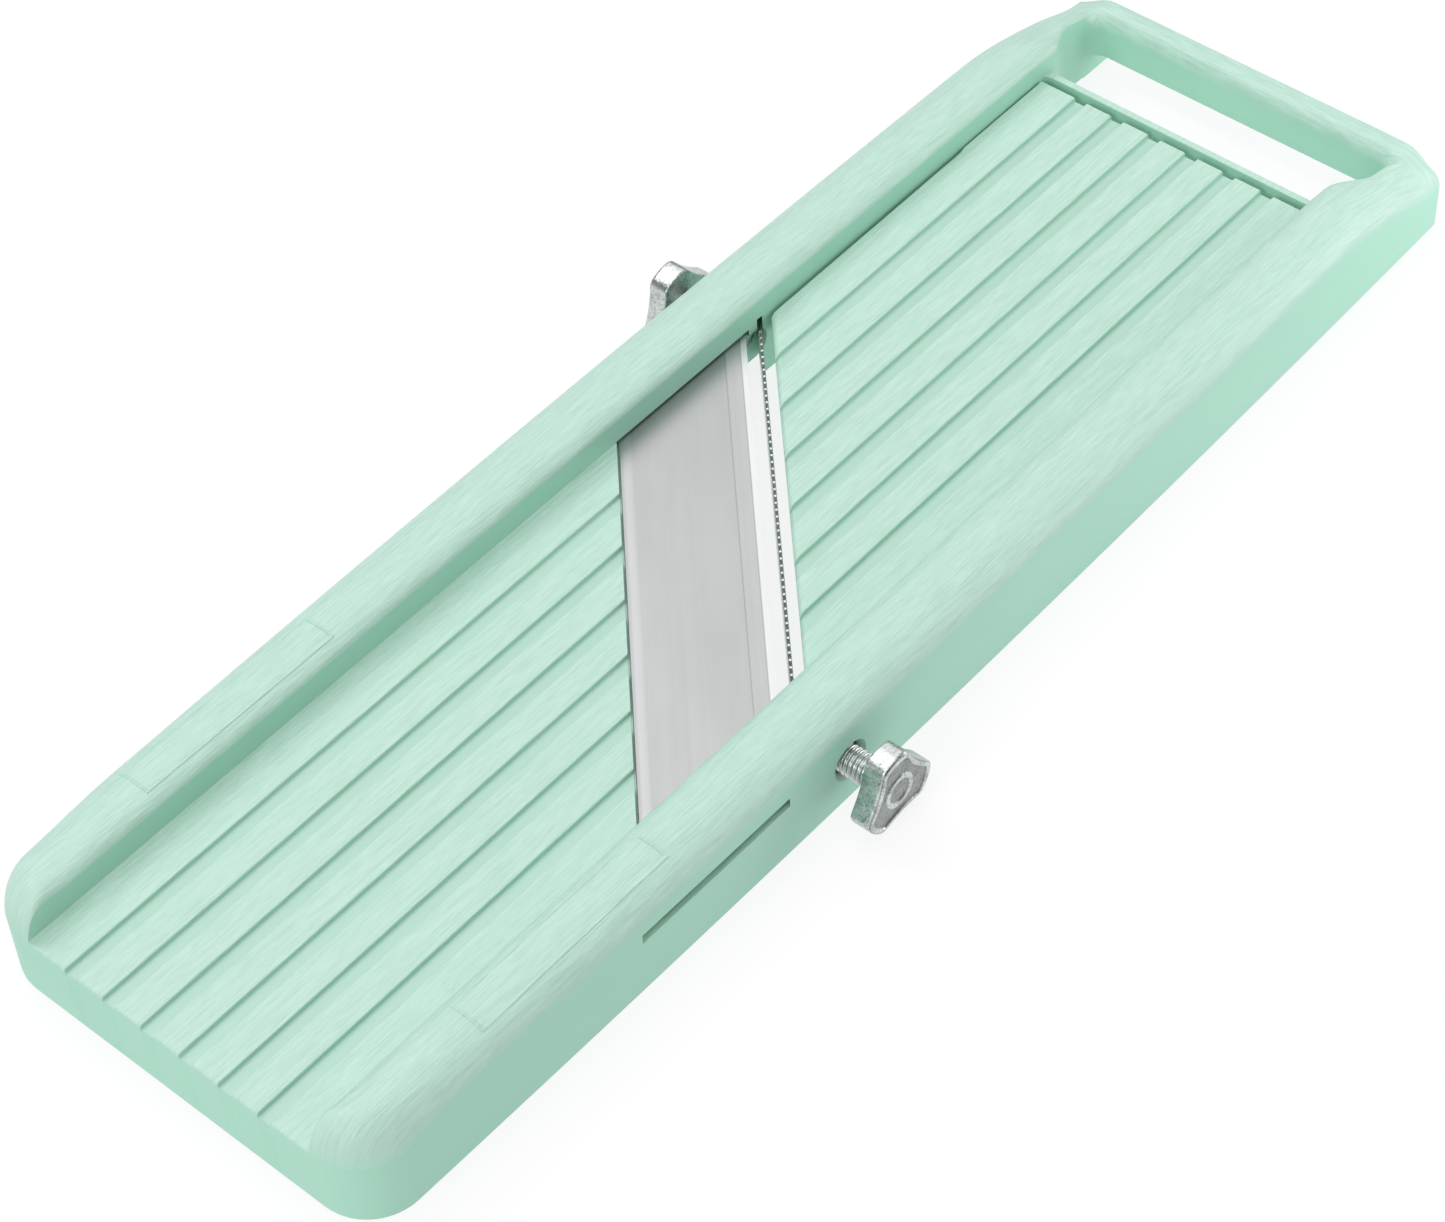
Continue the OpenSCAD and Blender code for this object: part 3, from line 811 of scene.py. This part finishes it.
def build_plate():
    plate = plate_slab()
    top = PLATE_BOTTOM + 0.4
    back = PLATE_BACK - 0.15
    for y0, y1 in RIBS_Y:
        front0, front1 = (slant_x(PLATE_U + 0.4, y) - HINGE.x for y in (y0, y1))
        plan = [(front0, y0), (back, y0), (back, y1), (front1, y1)]
        combine(plate, soft_prism("skirt", plan, SKIRT_LOW, top, 0.2), "UNION")
    front = [(x - HINGE.x, y) for x, y in slanted_plan(PLATE_U + 0.1, PLATE_U + 2, -32.9, 32.9)]
    combine(plate, prism("front_skirt", front, SKIRT_LOW - 0.01, top + 0.05), "UNION")
    barrel = turned("barrel", rod_profile(BARREL_R, BARREL_HALF), 48)
    combine(plate, lying(barrel, 0, 0, 0, 1), "UNION")
    bore = turned("bore", [(0, -50), (1.56, -50), (1.56, 50), (0, 50)], 40)
    combine(plate, lying(bore, 0, 0, 0, 1))
    place(plate, Matrix.Translation(HINGE) @ Matrix.Rotation(-PLATE_SLOPE, 4, "Y"))
    long, wide = SADDLE_HALF
    plan = rounded(rectangle(ADJUSTER_X - long, ADJUSTER_X + long, -wide, wide), 1.5)
    combine(plate, soft_prism("saddle", plan, *SADDLE_Z, 0.15), "UNION")
    combine(plate, keyhole("head_slot", 4.3, 11.65, 13.2))
    combine(plate, keyhole("neck_slot", 2.3, 9, 11.9))
    tidy(plate)
    return plate


# ------------ blade and comb
BLADE_T = 1.0
BLADE_BEVEL = 0.18
GRIND_W = 4.4
EDGE_BAND_W = 1.3


def build_blade():
    """The slanted blade: a main grind and a narrow second one along its edge."""
    low = RAMP_Z - BLADE_T
    back = EDGE_U - BLADE_W
    bevel = BLADE_BEVEL
    profile = [(back + bevel, RAMP_Z), (back, RAMP_Z - bevel), (back, low + bevel), (back + bevel, low),
               (EDGE_U - 3.4, low), (EDGE_U - 0.9, low + 0.33),
               (EDGE_U, RAMP_Z - 0.47), (EDGE_U, RAMP_Z - 0.41),
               (EDGE_U - EDGE_BAND_W, RAMP_Z - 0.27), (EDGE_U - GRIND_W, RAMP_Z)]
    middle_u, middle_z = (back + EDGE_U) / 2, RAMP_Z - BLADE_T / 2
    y0, y1 = BLADE_LOW.y, BLADE_HIGH.y
    end = 0.12
    rings = []
    for y, inset in [(y0, end)] + [(y, 0) for y in spaced(y0 + end, y1 - end, 12)] + [(y1, end)]:
        ring = []
        for u, z in profile:
            u += math.copysign(min(inset, abs(u - middle_u)), middle_u - u)
            z += math.copysign(min(inset, abs(z - middle_z)), middle_z - z)
            ring.append((slant_x(u, y), y, z))
        rings.append(ring)
    return loft("blade", rings)


TOOTH_PITCH = 1.785
TOOTH_GAP = 1.05
TOOTH_H = 3.2
TAB_TOP = 13.0
TEETH_Y = (-33.3, 33.3)
COMB_Y = (-40.2, 37.6)


def build_comb():
    """The comb, on edge: a strip with two tabs that the screws clamp, and slightly tapered teeth."""
    pitch = TOOTH_PITCH
    root, tab, tip = COMB_HIGH.z - TOOTH_H, TAB_TOP, COMB_HIGH.z
    half = COMB_T / 2

    def along(y):
        return (y + COMB_U * math.sin(SLANT)) / COS_SLANT

    first, last = along(TEETH_Y[0]) + 0.9, along(TEETH_Y[1]) - 0.9
    centres = [(i + 0.5) * pitch for i in range(-40, 40) if first < (i + 0.5) * pitch < last]
    width = (pitch - TOOTH_GAP) / 2
    stops = [(along(COMB_Y[0]), "tab"), (centres[0] - pitch + width, "gap")]
    for c in centres:
        stops += [(c - width, "tooth"), (c + width, "gap")]
    stops += [(centres[-1] + pitch - width, "tab"), (along(COMB_Y[1]), "end")]
    points = []
    faces = []
    turn = Matrix.Rotation(-SLANT, 4, "Z")

    def add(u, v, z):
        points.append(turn @ Vector((COMB_U + u, v, z)))
        return len(points) - 1

    def column(v):
        low = COMB_LOW.z
        return [add(-half + 0.12, v, low), add(-half, v, low + 0.2), add(-half, v, root),
                add(half, v, root), add(half, v, low + 0.2), add(half - 0.12, v, low)]

    def block(a, b, levels):
        """Walls over the quad between two columns, then a top. A level is z, and what the near face, the far
        face and each end draw in by."""
        base = [a[2], a[3], b[3], b[2]]
        v0, v1 = (turn.inverted() @ points[k] for k in (a[2], b[2]))
        for z, near, far_side, end in levels:
            ring = [add(-half + near, v0.y + end, z), add(half - far_side, v0.y + end, z),
                    add(half - far_side, v1.y - end, z), add(-half + near, v1.y - end, z)]
            faces.extend((base[k], base[(k + 1) % 4], ring[(k + 1) % 4], ring[k]) for k in range(4))
            base = ring
        faces.append(tuple(base))

    columns = [column(v) for v, _ in stops]
    for k in range(len(stops) - 1):
        a, b = columns[k], columns[k + 1]
        faces += [(a[i], a[(i + 1) % 6], b[(i + 1) % 6], b[i]) for i in (0, 1, 3, 4, 5)]
        kind = stops[k][1]
        if kind == "gap":
            faces.append((a[2], a[3], b[3], b[2]))
        elif kind == "tab":
            block(a, b, [(tab - 0.12, 0, 0, 0), (tab, 0.12, 0.12, 0.12)])
        else:
            levels = [(tip - 1.5, 0, 0, 0.03), (tip - 0.15, 0.02, 0.12, 0.07), (tip, 0.1, 0.2, 0.15)]
            block(a, b, levels)
    faces += [tuple(columns[0]), tuple(columns[-1])]
    return mesh_from("comb", points, faces)


# ------------ screws
THREAD = 1.0  # rise of one turn
THREAD_DEPTH = 0.56
THREAD_CHAMFER = 0.7
THREAD_STEPS = 44  # points around a thread
THREAD_ROWS = 10  # rings to one turn
NEAR_FACE = -node_box("near_screw_knob")[0].y
FAR_FACE = node_box("far_screw_knob")[1].y
KNOB_T = FAR_FACE - node_box("far_screw_knob")[0].y
KNOB_R = 9.1
KNOB_WAIST = 6.6  # from the axis to the middle of a flank
KNOB_FLANK = 30.0  # radius of a flank's hollow
KNOB_STEPS = 120
SOFTNESS = 26  # the higher, the sharper a knob's corners
STUD_SEAT = 1.6  # from a knob's outer face to the end of its stud
ADJUSTER_WAIST = 7.4
NEAR_TURN = math.radians(-24)
FAR_TURN = math.radians(-14)


def thread_radius(phase):
    """Radius of a stud's thread: flat crest, sloping flanks and a round root."""
    t = abs((phase % 1) * 2 - 1)
    return STUD_R - THREAD_DEPTH * smooth((t - 0.16) / 0.72)


def threaded(name, z0, z1, tail=()):
    """A threaded rod from z0 to z1, then the plain (radius, z) rings of its tail."""
    rows = int(round((z1 - z0) / THREAD * THREAD_ROWS))
    profile = [(0, z0)]

    def ring(z):
        limit = STUD_R - max(0, THREAD_CHAMFER - (z - z0))
        if not tail:
            limit = min(limit, STUD_R - max(0, THREAD_CHAMFER - (z1 - z)))
        return lambda a: min(limit, thread_radius(z / THREAD - a / math.tau))

    profile += [(ring(z), z) for z in spaced(z0, z1, rows)]
    profile += list(tail) + [(0, tail[-1][1] if tail else z1)]
    return turned(name, profile, THREAD_STEPS)


def lobes(inset, waist=KNOB_WAIST):
    """Outline of a knob: three lobes with hollow flanks, a soft corner between them."""
    def radius(a):
        middle = waist + KNOB_FLANK
        shapes = [KNOB_R]
        for k in range(3):
            off = a - math.radians(60 + 120 * k)
            reach = KNOB_FLANK ** 2 - (middle * math.sin(off)) ** 2
            if reach > 0 and math.cos(off) > 0:
                shapes.append(middle * math.cos(off) - math.sqrt(reach))
        return sum((s / KNOB_R) ** -SOFTNESS for s in shapes) ** (-1 / SOFTNESS) * KNOB_R - inset
    return radius


def between(a, b, t):
    """A radius between two outlines, either of which may be round."""
    def radius(angle):
        ra = a(angle) if callable(a) else a
        rb = b(angle) if callable(b) else b
        return lerp(ra, rb, t)
    return radius


def knob_rings(height, bevel, foot, waist=KNOB_WAIST):
    """A knob's rings from the middle of its outer face down to its back edge. The face carries a plain
    raised ring inside a shallow hollow."""
    hollow = height - 0.3

    def edge(inset):
        return lobes(inset, waist)

    rings = [(0, hollow), (1.2, hollow), (2.5, hollow), (2.75, height - 0.08), (2.95, height),
             (3.45, height), (3.65, height - 0.08), (3.9, hollow), (4.2, hollow)]
    rings += [(between(4.2, edge(bevel + 0.75), t), hollow) for t in (0.33, 0.66)]
    rings += [(edge(bevel + 0.7), hollow), (edge(bevel + 0.45), height - 0.04), (edge(bevel + 0.2), height)]
    rings += [(edge(bevel * (1 - math.sin(a))), height - bevel * (1 - math.cos(a))) for a in turns(5)]
    rings += [(edge(0), height / 2)]
    rings += [(edge(foot * (1 - math.cos(a))), foot * (1 - math.sin(a))) for a in turns(3)]
    return rings


def knob_face(side):
    """Distance from the middle plane to a side knob's outer face."""
    return FAR_FACE if side > 0 else NEAR_FACE


def build_side_knob(side):
    bore = STUD_R + 0.05
    deep = KNOB_T - STUD_SEAT
    rings = knob_rings(KNOB_T, 0.8, 0.4)
    rings += [(between(lobes(0.4), 4.4, t), 0) for t in (0.35, 0.7)]
    rings += [(4.4, 0), (bore + 0.35, 0), (bore, 0.35), (bore, deep), (0, deep)]
    knob = turned("knob", rings, KNOB_STEPS)
    angle = NEAR_TURN if side < 0 else -FAR_TURN
    place(knob, Matrix.Translation((0, 0, knob_face(side) - KNOB_T)) @ Matrix.Rotation(angle, 4, "Z"))
    return lying(knob, side * SCREW_X, 0, SCREW_Z, side)


def build_side_stud(side):
    low, high = node_box("far_screw_stud" if side > 0 else "near_screw_stud")
    tip = low.y if side > 0 else -high.y
    stud = threaded("stud", tip, knob_face(side) - STUD_SEAT)
    return lying(stud, side * SCREW_X, 0, SCREW_Z, side)


def build_nut(side):
    """A square nut with a countersunk bore."""
    low, high = node_box("far_screw_nut")
    half = (high.x - low.x) / 2
    nut = soft_prism("nut", rounded(rectangle(-half, half, -half, half), 0.7, 3), low.y, high.y, 0.35)
    thick = high.y - low.y
    bore = [(0, -1), (3.9, -1), (3.05, 0.4), (3.05, thick - 0.4), (3.9, thick + 1), (0, thick + 1)]
    combine(nut, place(turned("bore", bore, 48), Matrix.Translation((0, 0, low.y))))
    return lying(nut, side * SCREW_X, 0, SCREW_Z, side)


def build_adjuster_stud():
    """The screw under the plate: a thread, a neck and a round head that the saddle holds."""
    low, high = ADJUSTER_LOW.z, ADJUSTER_HIGH.z
    collar = 9.9
    tail = [(2.6, collar - 0.2), (2.4, collar), (2.0, collar + 0.01), (2.0, high - 1),
            (3.7, high - 1), (4.0, high - 0.75), (4.0, high - 0.4), (3.6, high - 0.05),
            (3.1, high), (1.2, high), (1.0, high - 0.3)]
    return place(threaded("stud", low, collar - 0.4, tail), AT_ADJUSTER)


def build_adjuster_knob():
    """A knob that faces down, with a pocket for the stud and the foot of the insert."""
    low, high = node_box("adjuster_knob")
    rings = knob_rings(high.z - low.z, 0.7, 0.4, ADJUSTER_WAIST)
    rings += [(between(lobes(0.4, ADJUSTER_WAIST), 1, 0.5), 0), (0, 0)]
    upside_down = Matrix.Rotation(math.radians(30), 4, "Z") @ Matrix.Rotation(math.pi, 4, "X")
    knob = turned("knob", rings, KNOB_STEPS)
    place(knob, Matrix.Translation((ADJUSTER_X, 0, high.z)) @ upside_down)
    pocket = turned("pocket", [(0, 3.1), (3.05, 3.1), (3.05, 4.8), (6.3, 4.8), (6.3, 9), (0, 9)], 64)
    combine(knob, place(pocket, AT_ADJUSTER))
    tidy(knob)
    return knob


def build_insert():
    """The threaded brass insert, knurled outside."""
    low, high = node_box("adjuster_insert")
    outer = (high.x - low.x) / 2

    def knurl(a):
        return outer - 0.16 * (1 - abs(math.cos(a * 16)))

    rings = [(outer - 0.35, low.z), (knurl, low.z + 0.25), (knurl, low.z + 1.15),
             (outer - 0.4, low.z + 1.25), (outer - 0.4, low.z + 1.7), (knurl, low.z + 1.8),
             (knurl, high.z - 0.25), (outer - 0.3, high.z), (3.4, high.z), (3.05, high.z - 0.3),
             (3.05, low.z + 0.3), (3.4, low.z)]
    return place(turned("insert", rings, 128, loop=True), AT_ADJUSTER)


def build_rod():
    profile = rod_profile((ROD_HIGH.x - ROD_LOW.x) / 2, ROD_HIGH.y)
    return lying(turned("rod", profile, 40), HINGE.x, 0, HINGE.z, 1)


# ------------ materials
def srgb(r, g, b):
    """A colour given as it looks on a screen, from 0 to 255."""
    def linear(c):
        c /= 255
        return c / 12.92 if c <= 0.04045 else ((c + 0.055) / 1.055) ** 2.4
    return linear(r), linear(g), linear(b)


class Nodes:
    """A short way to build a material's node tree. Its methods give output sockets. An input is given as a
    value, or as the output socket that feeds it."""

    def __init__(self, name):
        self.material = bpy.data.materials.new(name)
        self.material.use_nodes = True
        self.tree = self.material.node_tree
        self.tree.nodes.clear()
        self.shader = self.add("BsdfPrincipled")
        self.add("OutputMaterial", Surface=self.shader.outputs["BSDF"])

    def feed(self, node, socket, value):
        if isinstance(value, bpy.types.NodeSocket):
            self.tree.links.new(value, node.inputs[socket])
        else:
            node.inputs[socket].default_value = value

    def add(self, kind, **inputs):
        node = self.tree.nodes.new("ShaderNode" + kind)
        for socket, value in inputs.items():
            self.feed(node, socket, value)
        return node

    def place(self, scale, turn=0.0):
        """Object coordinates, turned about Z and then stretched."""
        where = self.add("TexCoord").outputs["Object"]
        if turn:
            where = self.add("Mapping", Vector=where, Rotation=(0, 0, turn)).outputs["Vector"]
        return self.add("Mapping", Vector=where, Scale=scale).outputs["Vector"]

    def noise(self, where, scale, detail, roughness, distortion=0.0):
        return self.add("TexNoise", Vector=where, Scale=scale, Detail=detail, Roughness=roughness,
                        Distortion=distortion).outputs["Fac"]

    def ramp(self, source, *stops):
        """Colours at positions from 0 to 1."""
        node = self.add("ValToRGB", Fac=source)
        elements = node.color_ramp.elements
        for k in (0, -1):
            elements[k].position = stops[k][0]
            elements[k].color = (*stops[k][1], 1)
        for position, colour in stops[1:-1]:
            elements.new(position).color = (*colour, 1)
        return node.outputs["Color"]

    def greys(self, source, *stops):
        return self.ramp(source, *((position, (v, v, v)) for position, v in stops))

    def split(self, source):
        return self.add("SeparateXYZ", Vector=source).outputs

    def math(self, kind, first, second=None):
        node = self.add("Math")
        node.operation = kind
        self.feed(node, 0, first)
        if second is not None:
            self.feed(node, 1, second)
        return node.outputs["Value"]

    def mix(self, kind, amount, first, second):
        node = self.add("MixRGB", Fac=amount, Color1=first, Color2=second)
        node.blend_type = kind
        return node.outputs["Color"]

    def bump(self, height, strength, distance, after=None):
        node = self.add("Bump", Height=height, Strength=strength, Distance=distance)
        if after:
            self.feed(node, "Normal", after)
        return node.outputs["Normal"]

    def finish(self, colour, rough, bump=None, metallic=0.0):
        """Joins the colour, the roughness and the bump to the shader, and gives the material."""
        self.feed(self.shader, "Base Color", colour)
        self.feed(self.shader, "Roughness", rough)
        self.feed(self.shader, "Metallic", metallic)
        if bump:
            self.feed(self.shader, "Normal", bump)
        return self.material


PER_MM = (1000, 1000, 1000)  # a scale that turns object coordinates into millimetres
# How densely each noise of the plastic varies along X, Y and Z
FINE_GRAIN = (170, 2600, 170)
LONG_GRAIN = (70, 1300, 70)
CROSS_GRAIN = (2600, 170, 170)
PATCHES = (14, 60, 60)
SKIN = (900, 900, 900)
PLATE_REACH = 27.0  # no groove lies further from the middle


def green_plastic():
    """Pale green moulded plastic. A grain covers what faces up, except the floors of the grooves. It runs
    along the rails and the plate, and along the handle bar. What faces up is painted paler than the walls,
    as painted light and shade, and the floors of the grooves are painted darker, as painted shade."""
    m = Nodes("green_plastic")
    fine = m.noise(m.place(FINE_GRAIN), 1.0, 2.0, 0.55, 0.15)
    long = m.noise(m.place(LONG_GRAIN), 1.0, 2.0, 0.5, 0.15)
    broad = m.noise(m.place(PATCHES), 1.0, 2.0, 0.5)
    crosswise = m.noise(m.place(CROSS_GRAIN), 1.0, 2.0, 0.55, 0.15)
    x, y, _ = m.split(m.add("TexCoord").outputs["Object"])
    on_bar = m.math("GREATER_THAN", x, BAR_X * MM)
    grain = m.mix("MIX", on_bar, m.mix("MIX", 0.22, fine, long), crosswise)

    pitches = m.math("FRACT", m.math("MULTIPLY", y, 1 / (GROOVE_PITCH * MM)))
    phase = m.math("ABSOLUTE", m.math("SUBTRACT", pitches, 0.5))
    ridge = m.math("GREATER_THAN", phase, (GROOVE_W / 2 + 0.05) / GROOVE_PITCH)
    rail = m.math("GREATER_THAN", m.math("ABSOLUTE", y), PLATE_REACH * MM)
    behind = m.math("GREATER_THAN", x, (WEB_X - 1) * MM)
    raised = m.math("MAXIMUM", ridge, m.math("MAXIMUM", rail, behind))
    facing = m.split(m.add("NewGeometry").outputs["Normal"])
    upward = m.greys(facing["Z"], (0.05, 0.12), (0.55, 1.0))
    weight = m.math("MULTIPLY", raised, upward)

    streaks = m.ramp(grain, (0.34, srgb(169, 203, 188)), (0.5, srgb(177, 210, 196)),
                     (0.66, srgb(185, 216, 204)))
    # Painted light and shade: what faces up gets a paler, lighter green, and the walls a more saturated one.
    lit_tops = m.ramp(broad, (0.3, srgb(171, 207, 192)), (0.7, srgb(175, 210, 196)))
    walls = m.ramp(broad, (0.3, srgb(155, 211, 187)), (0.7, srgb(160, 214, 191)))
    colour = m.mix("MIX", weight, m.mix("MIX", upward, walls, lit_tops), streaks)
    # Painted shade: the floors of the grooves, where they face up, are darkened as if less light reached
    # them.
    shade = m.greys(raised, (0.0, 0.925), (1.0, 1.0))
    groove_shaded = m.mix("MULTIPLY", upward, colour, shade)
    rough = m.greys(grain, (0.35, 0.42), (0.65, 0.55))
    skin = m.bump(m.noise(m.place(SKIN), 1.0, 2.0, 0.5), 0.25, 0.08 * MM)
    m.feed(m.shader, "IOR", 1.49)
    return m.finish(groove_shaded, rough, m.bump(grain, weight, 0.18 * MM, after=skin))


def brushed_steel(name, across, tone, turn=0.0, polish=0.24, finish=None):
    """Steel with fine brush lines along its edge. across is how many lines there are to a millimetre, polish
    is its roughness, and finish may multiply a painted sheen into it over its width."""
    m = Nodes(name)
    lines = m.noise(m.place((1000 * across, 5, 1000 * across), turn), 1.0, 3.0, 0.6)
    soft = m.noise(m.place((90, 25, 90), turn), 1.0, 3.0, 0.55)
    colour = m.ramp(soft, (0.35, [c * 0.94 for c in tone]), (0.65, tone))
    if finish:
        colour = m.mix("MULTIPLY", 1.0, colour, finish(m))
    rough = m.greys(lines, (0.3, polish), (0.7, polish + 0.1))
    return m.finish(colour, rough, m.bump(lines, 0.15, 0.01 * MM), 1.0)


# Tones of the blade by millimetres from its back, and by millimetres from its edge. The brighter tones of
# the grinds are a painted sheen.
BACK_BORDER = [(0.5, 0.54), (0.9, 0.62), (1.9, 0.62), (2.6, 0.54)]
GRIND_SHEEN = [(4.55, 0.54), (4.42, 0.37), (4.25, 0.64), (1.45, 0.67), (1.35, 0.41), (1.15, 1.0)]


def painted_grind_sheen(m):
    """A painted sheen: the grinds are painted brighter, for the light they catch at their tilt, with a fine
    line where each starts, and a bright border along the back.
    """
    across = m.split(m.place(PER_MM, SLANT))
    from_back = m.math("SUBTRACT", across["X"], EDGE_U - BLADE_W)
    stops = [(d / BLADE_W, tone) for d, tone in BACK_BORDER]
    stops += [(1 - d / BLADE_W, tone) for d, tone in GRIND_SHEEN]
    return m.greys(m.math("DIVIDE", from_back, BLADE_W), *stops, (1.0, 1.0))


def cast_zinc(name, face):
    """Bright die-cast zinc: a grainy skin, darker in the shallow hollow of a knob's face, which lies face
    millimetres from the middle plane."""
    m = Nodes(name)
    even = m.place(PER_MM)
    grain = m.noise(even, 2.0, 3.0, 0.6)
    patches = m.noise(even, 0.35, 2.0, 0.5)
    colour = m.ramp(patches, (0.35, (0.48, 0.52, 0.51)), (0.65, (0.70, 0.74, 0.73)))
    depth = m.math("SUBTRACT", m.math("ABSOLUTE", m.split(even)["Y"]), face - 1)
    # A band at the floor of the face's shallow hollow is made darker.
    hollow_darkening = m.greys(depth, (0.6, 1.0), (0.69, 0.5), (0.74, 0.5), (0.92, 1.0))
    specks = m.greys(grain, (0.36, 0.6), (0.52, 1.0))
    both = m.mix("MULTIPLY", 1.0, m.mix("MULTIPLY", 1.0, colour, hollow_darkening), specks)
    rough = m.greys(patches, (0.35, 0.26), (0.7, 0.4))
    broad = m.bump(patches, 0.5, 0.25 * MM)
    return m.finish(both, rough, m.bump(grain, 0.5, 0.1 * MM, after=broad), 1.0)


def filmed_metal(name, film_scale, dark, light, smoothest, roughest):
    """Bare metal with a faint film that varies its colour and its roughness."""
    m = Nodes(name)
    film = m.noise(m.place(PER_MM), film_scale, 2.0, 0.5)
    colour = m.ramp(film, (0.35, dark), (0.65, light))
    return m.finish(colour, m.greys(film, (0.3, smoothest), (0.7, roughest)), metallic=1.0)


# ------------ pieces
GREEN = green_plastic()
BLADE_STEEL = brushed_steel("blade_steel", 3, (0.755, 0.76, 0.765), SLANT, 0.4, painted_grind_sheen)
COMB_STEEL = brushed_steel("comb_steel", 4, (0.66, 0.67, 0.67), SLANT)
ROD_STEEL = brushed_steel("rod_steel", 3, (0.52, 0.53, 0.54))
ZINC = {-1: cast_zinc("near_zinc", NEAR_FACE), 0: cast_zinc("middle_zinc", NEAR_FACE),
        1: cast_zinc("far_zinc", FAR_FACE)}
PLATED = filmed_metal("plated_thread", 0.8, (0.56, 0.58, 0.58), (0.66, 0.68, 0.67), 0.22, 0.32)
BRASS = filmed_metal("brass", 0.6, (0.58, 0.40, 0.14), (0.68, 0.49, 0.20), 0.26, 0.38)

finish_piece(build_body(), "body_frame_shell", GREEN, "body", "body_frame")
finish_piece(build_plate(), "tilting_plate_shell", GREEN, "plate", "tilting_plate")
finish_piece(build_blade(), "main_blade_ground", BLADE_STEEL, "blade", "main_blade", BLADE_CREASE)
finish_piece(build_comb(), "comb_blade_toothed", COMB_STEEL, "comb", "comb_blade")
finish_piece(build_rod(), "plate_hinge_rod_ground", ROD_STEEL, "body", "plate_hinge_rod")
for SIDE, PLACE in ((-1, "near"), (1, "far")):
    finish_piece(build_side_stud(SIDE), PLACE + "_stud_threaded", PLATED, PLACE + "_stud",
                 PLACE + "_screw_stud", THREAD_CREASE)
    finish_piece(build_side_knob(SIDE), PLACE + "_knob_cast", ZINC[SIDE], PLACE + "_knob",
                 PLACE + "_screw_knob")
    finish_piece(build_nut(SIDE), PLACE + "_nut_square", ROD_STEEL, "body", PLACE + "_screw_nut")
finish_piece(build_adjuster_stud(), "adjuster_stud_threaded", PLATED, "adjuster_stud", "adjuster_stud",
             THREAD_CREASE)
finish_piece(build_adjuster_knob(), "adjuster_knob_cast", ZINC[0], "adjuster_knob", "adjuster_knob")
finish_piece(build_insert(), "adjuster_insert_knurled", BRASS, "body", "adjuster_insert")


# ------------ floor, light and camera
FLOOR_HALF = 2.5
FLOOR_Z = -0.0002


def floor():
    """A wide pale floor that glows a little, so that it looks white."""
    bm = bmesh.new()
    bmesh.ops.create_grid(bm, x_segments=8, y_segments=8, size=FLOOR_HALF)
    mesh = bpy.data.meshes.new("floor")
    bm.to_mesh(mesh)
    bm.free()
    obj = bpy.data.objects.new("floor", mesh)
    obj.location.z = FLOOR_Z
    bpy.context.scene.collection.objects.link(obj)
    m = Nodes("pale_floor")
    m.feed(m.shader, "Emission Color", (1, 1, 1, 1))
    m.feed(m.shader, "Emission Strength", 0.82)
    mesh.materials.append(m.finish((0.15, 0.15, 0.15, 1), 0.9))


def area_light(name, place, target, size, power):
    data = bpy.data.lights.new(name, "AREA")
    data.shape = "DISK"
    data.size = size
    data.energy = power
    obj = bpy.data.objects.new(name, data)
    obj.location = place
    obj.rotation_mode = "QUATERNION"
    obj.rotation_quaternion = (Vector(target) - Vector(place)).to_track_quat("-Z", "Y")
    bpy.context.scene.collection.objects.link(obj)


# Name, place and target in metres, diameter in metres and power in watts
LIGHTS = [("top", (-0.25, -0.15, 1.3), (0, 0, 0), 1.2, 6.2),
          ("key", (0.0, 0.75, 1.05), (0, 0, 0), 0.7, 4.2),
          ("back", (0.5, 0.55, 0.95), (0, 0, 0), 1.2, 4.2),
          ("fill", (-1.0, -0.1, 0.6), (-0.05, 0, 0), 0.6, 4.2),
          ("near", (0.27, -0.21, 0.085), (0.12, -0.04, 0.01), 0.2, 0.38)]


def light():
    """An even white surrounding and the five lights."""
    world = bpy.data.worlds.new("studio")
    world.use_nodes = True
    background = world.node_tree.nodes["Background"]
    background.inputs["Color"].default_value = (1, 1, 1, 1)
    background.inputs["Strength"].default_value = 0.33
    bpy.context.scene.world = world
    for lamp in LIGHTS:
        area_light(*lamp)
    bpy.context.scene.view_settings.view_transform = "Standard"


CAMERA_PLACE = (-0.3569, -0.3206, 0.5215)
CAMERA_RIGHT = (0.6493, -0.7594, -0.0411)
CAMERA_FORWARD = (0.4868, 0.4566, -0.7447)
SENSOR_W = 36
LENS = 92.65


def camera():
    """The camera's right and viewing directions give its turn."""
    right = Vector(CAMERA_RIGHT).normalized()
    forward = Vector(CAMERA_FORWARD).normalized()
    up = right.cross(forward).normalized()
    right = forward.cross(up).normalized()
    data = bpy.data.cameras.new("camera")
    data.sensor_width = SENSOR_W
    data.lens = LENS
    data.clip_start = 0.05
    data.clip_end = 20
    obj = bpy.data.objects.new("camera", data)
    turn = Matrix((right, up, -forward)).transposed().to_4x4()
    obj.matrix_world = Matrix.Translation(CAMERA_PLACE) @ turn
    bpy.context.scene.collection.objects.link(obj)
    bpy.context.scene.camera = obj


floor()
light()
camera()
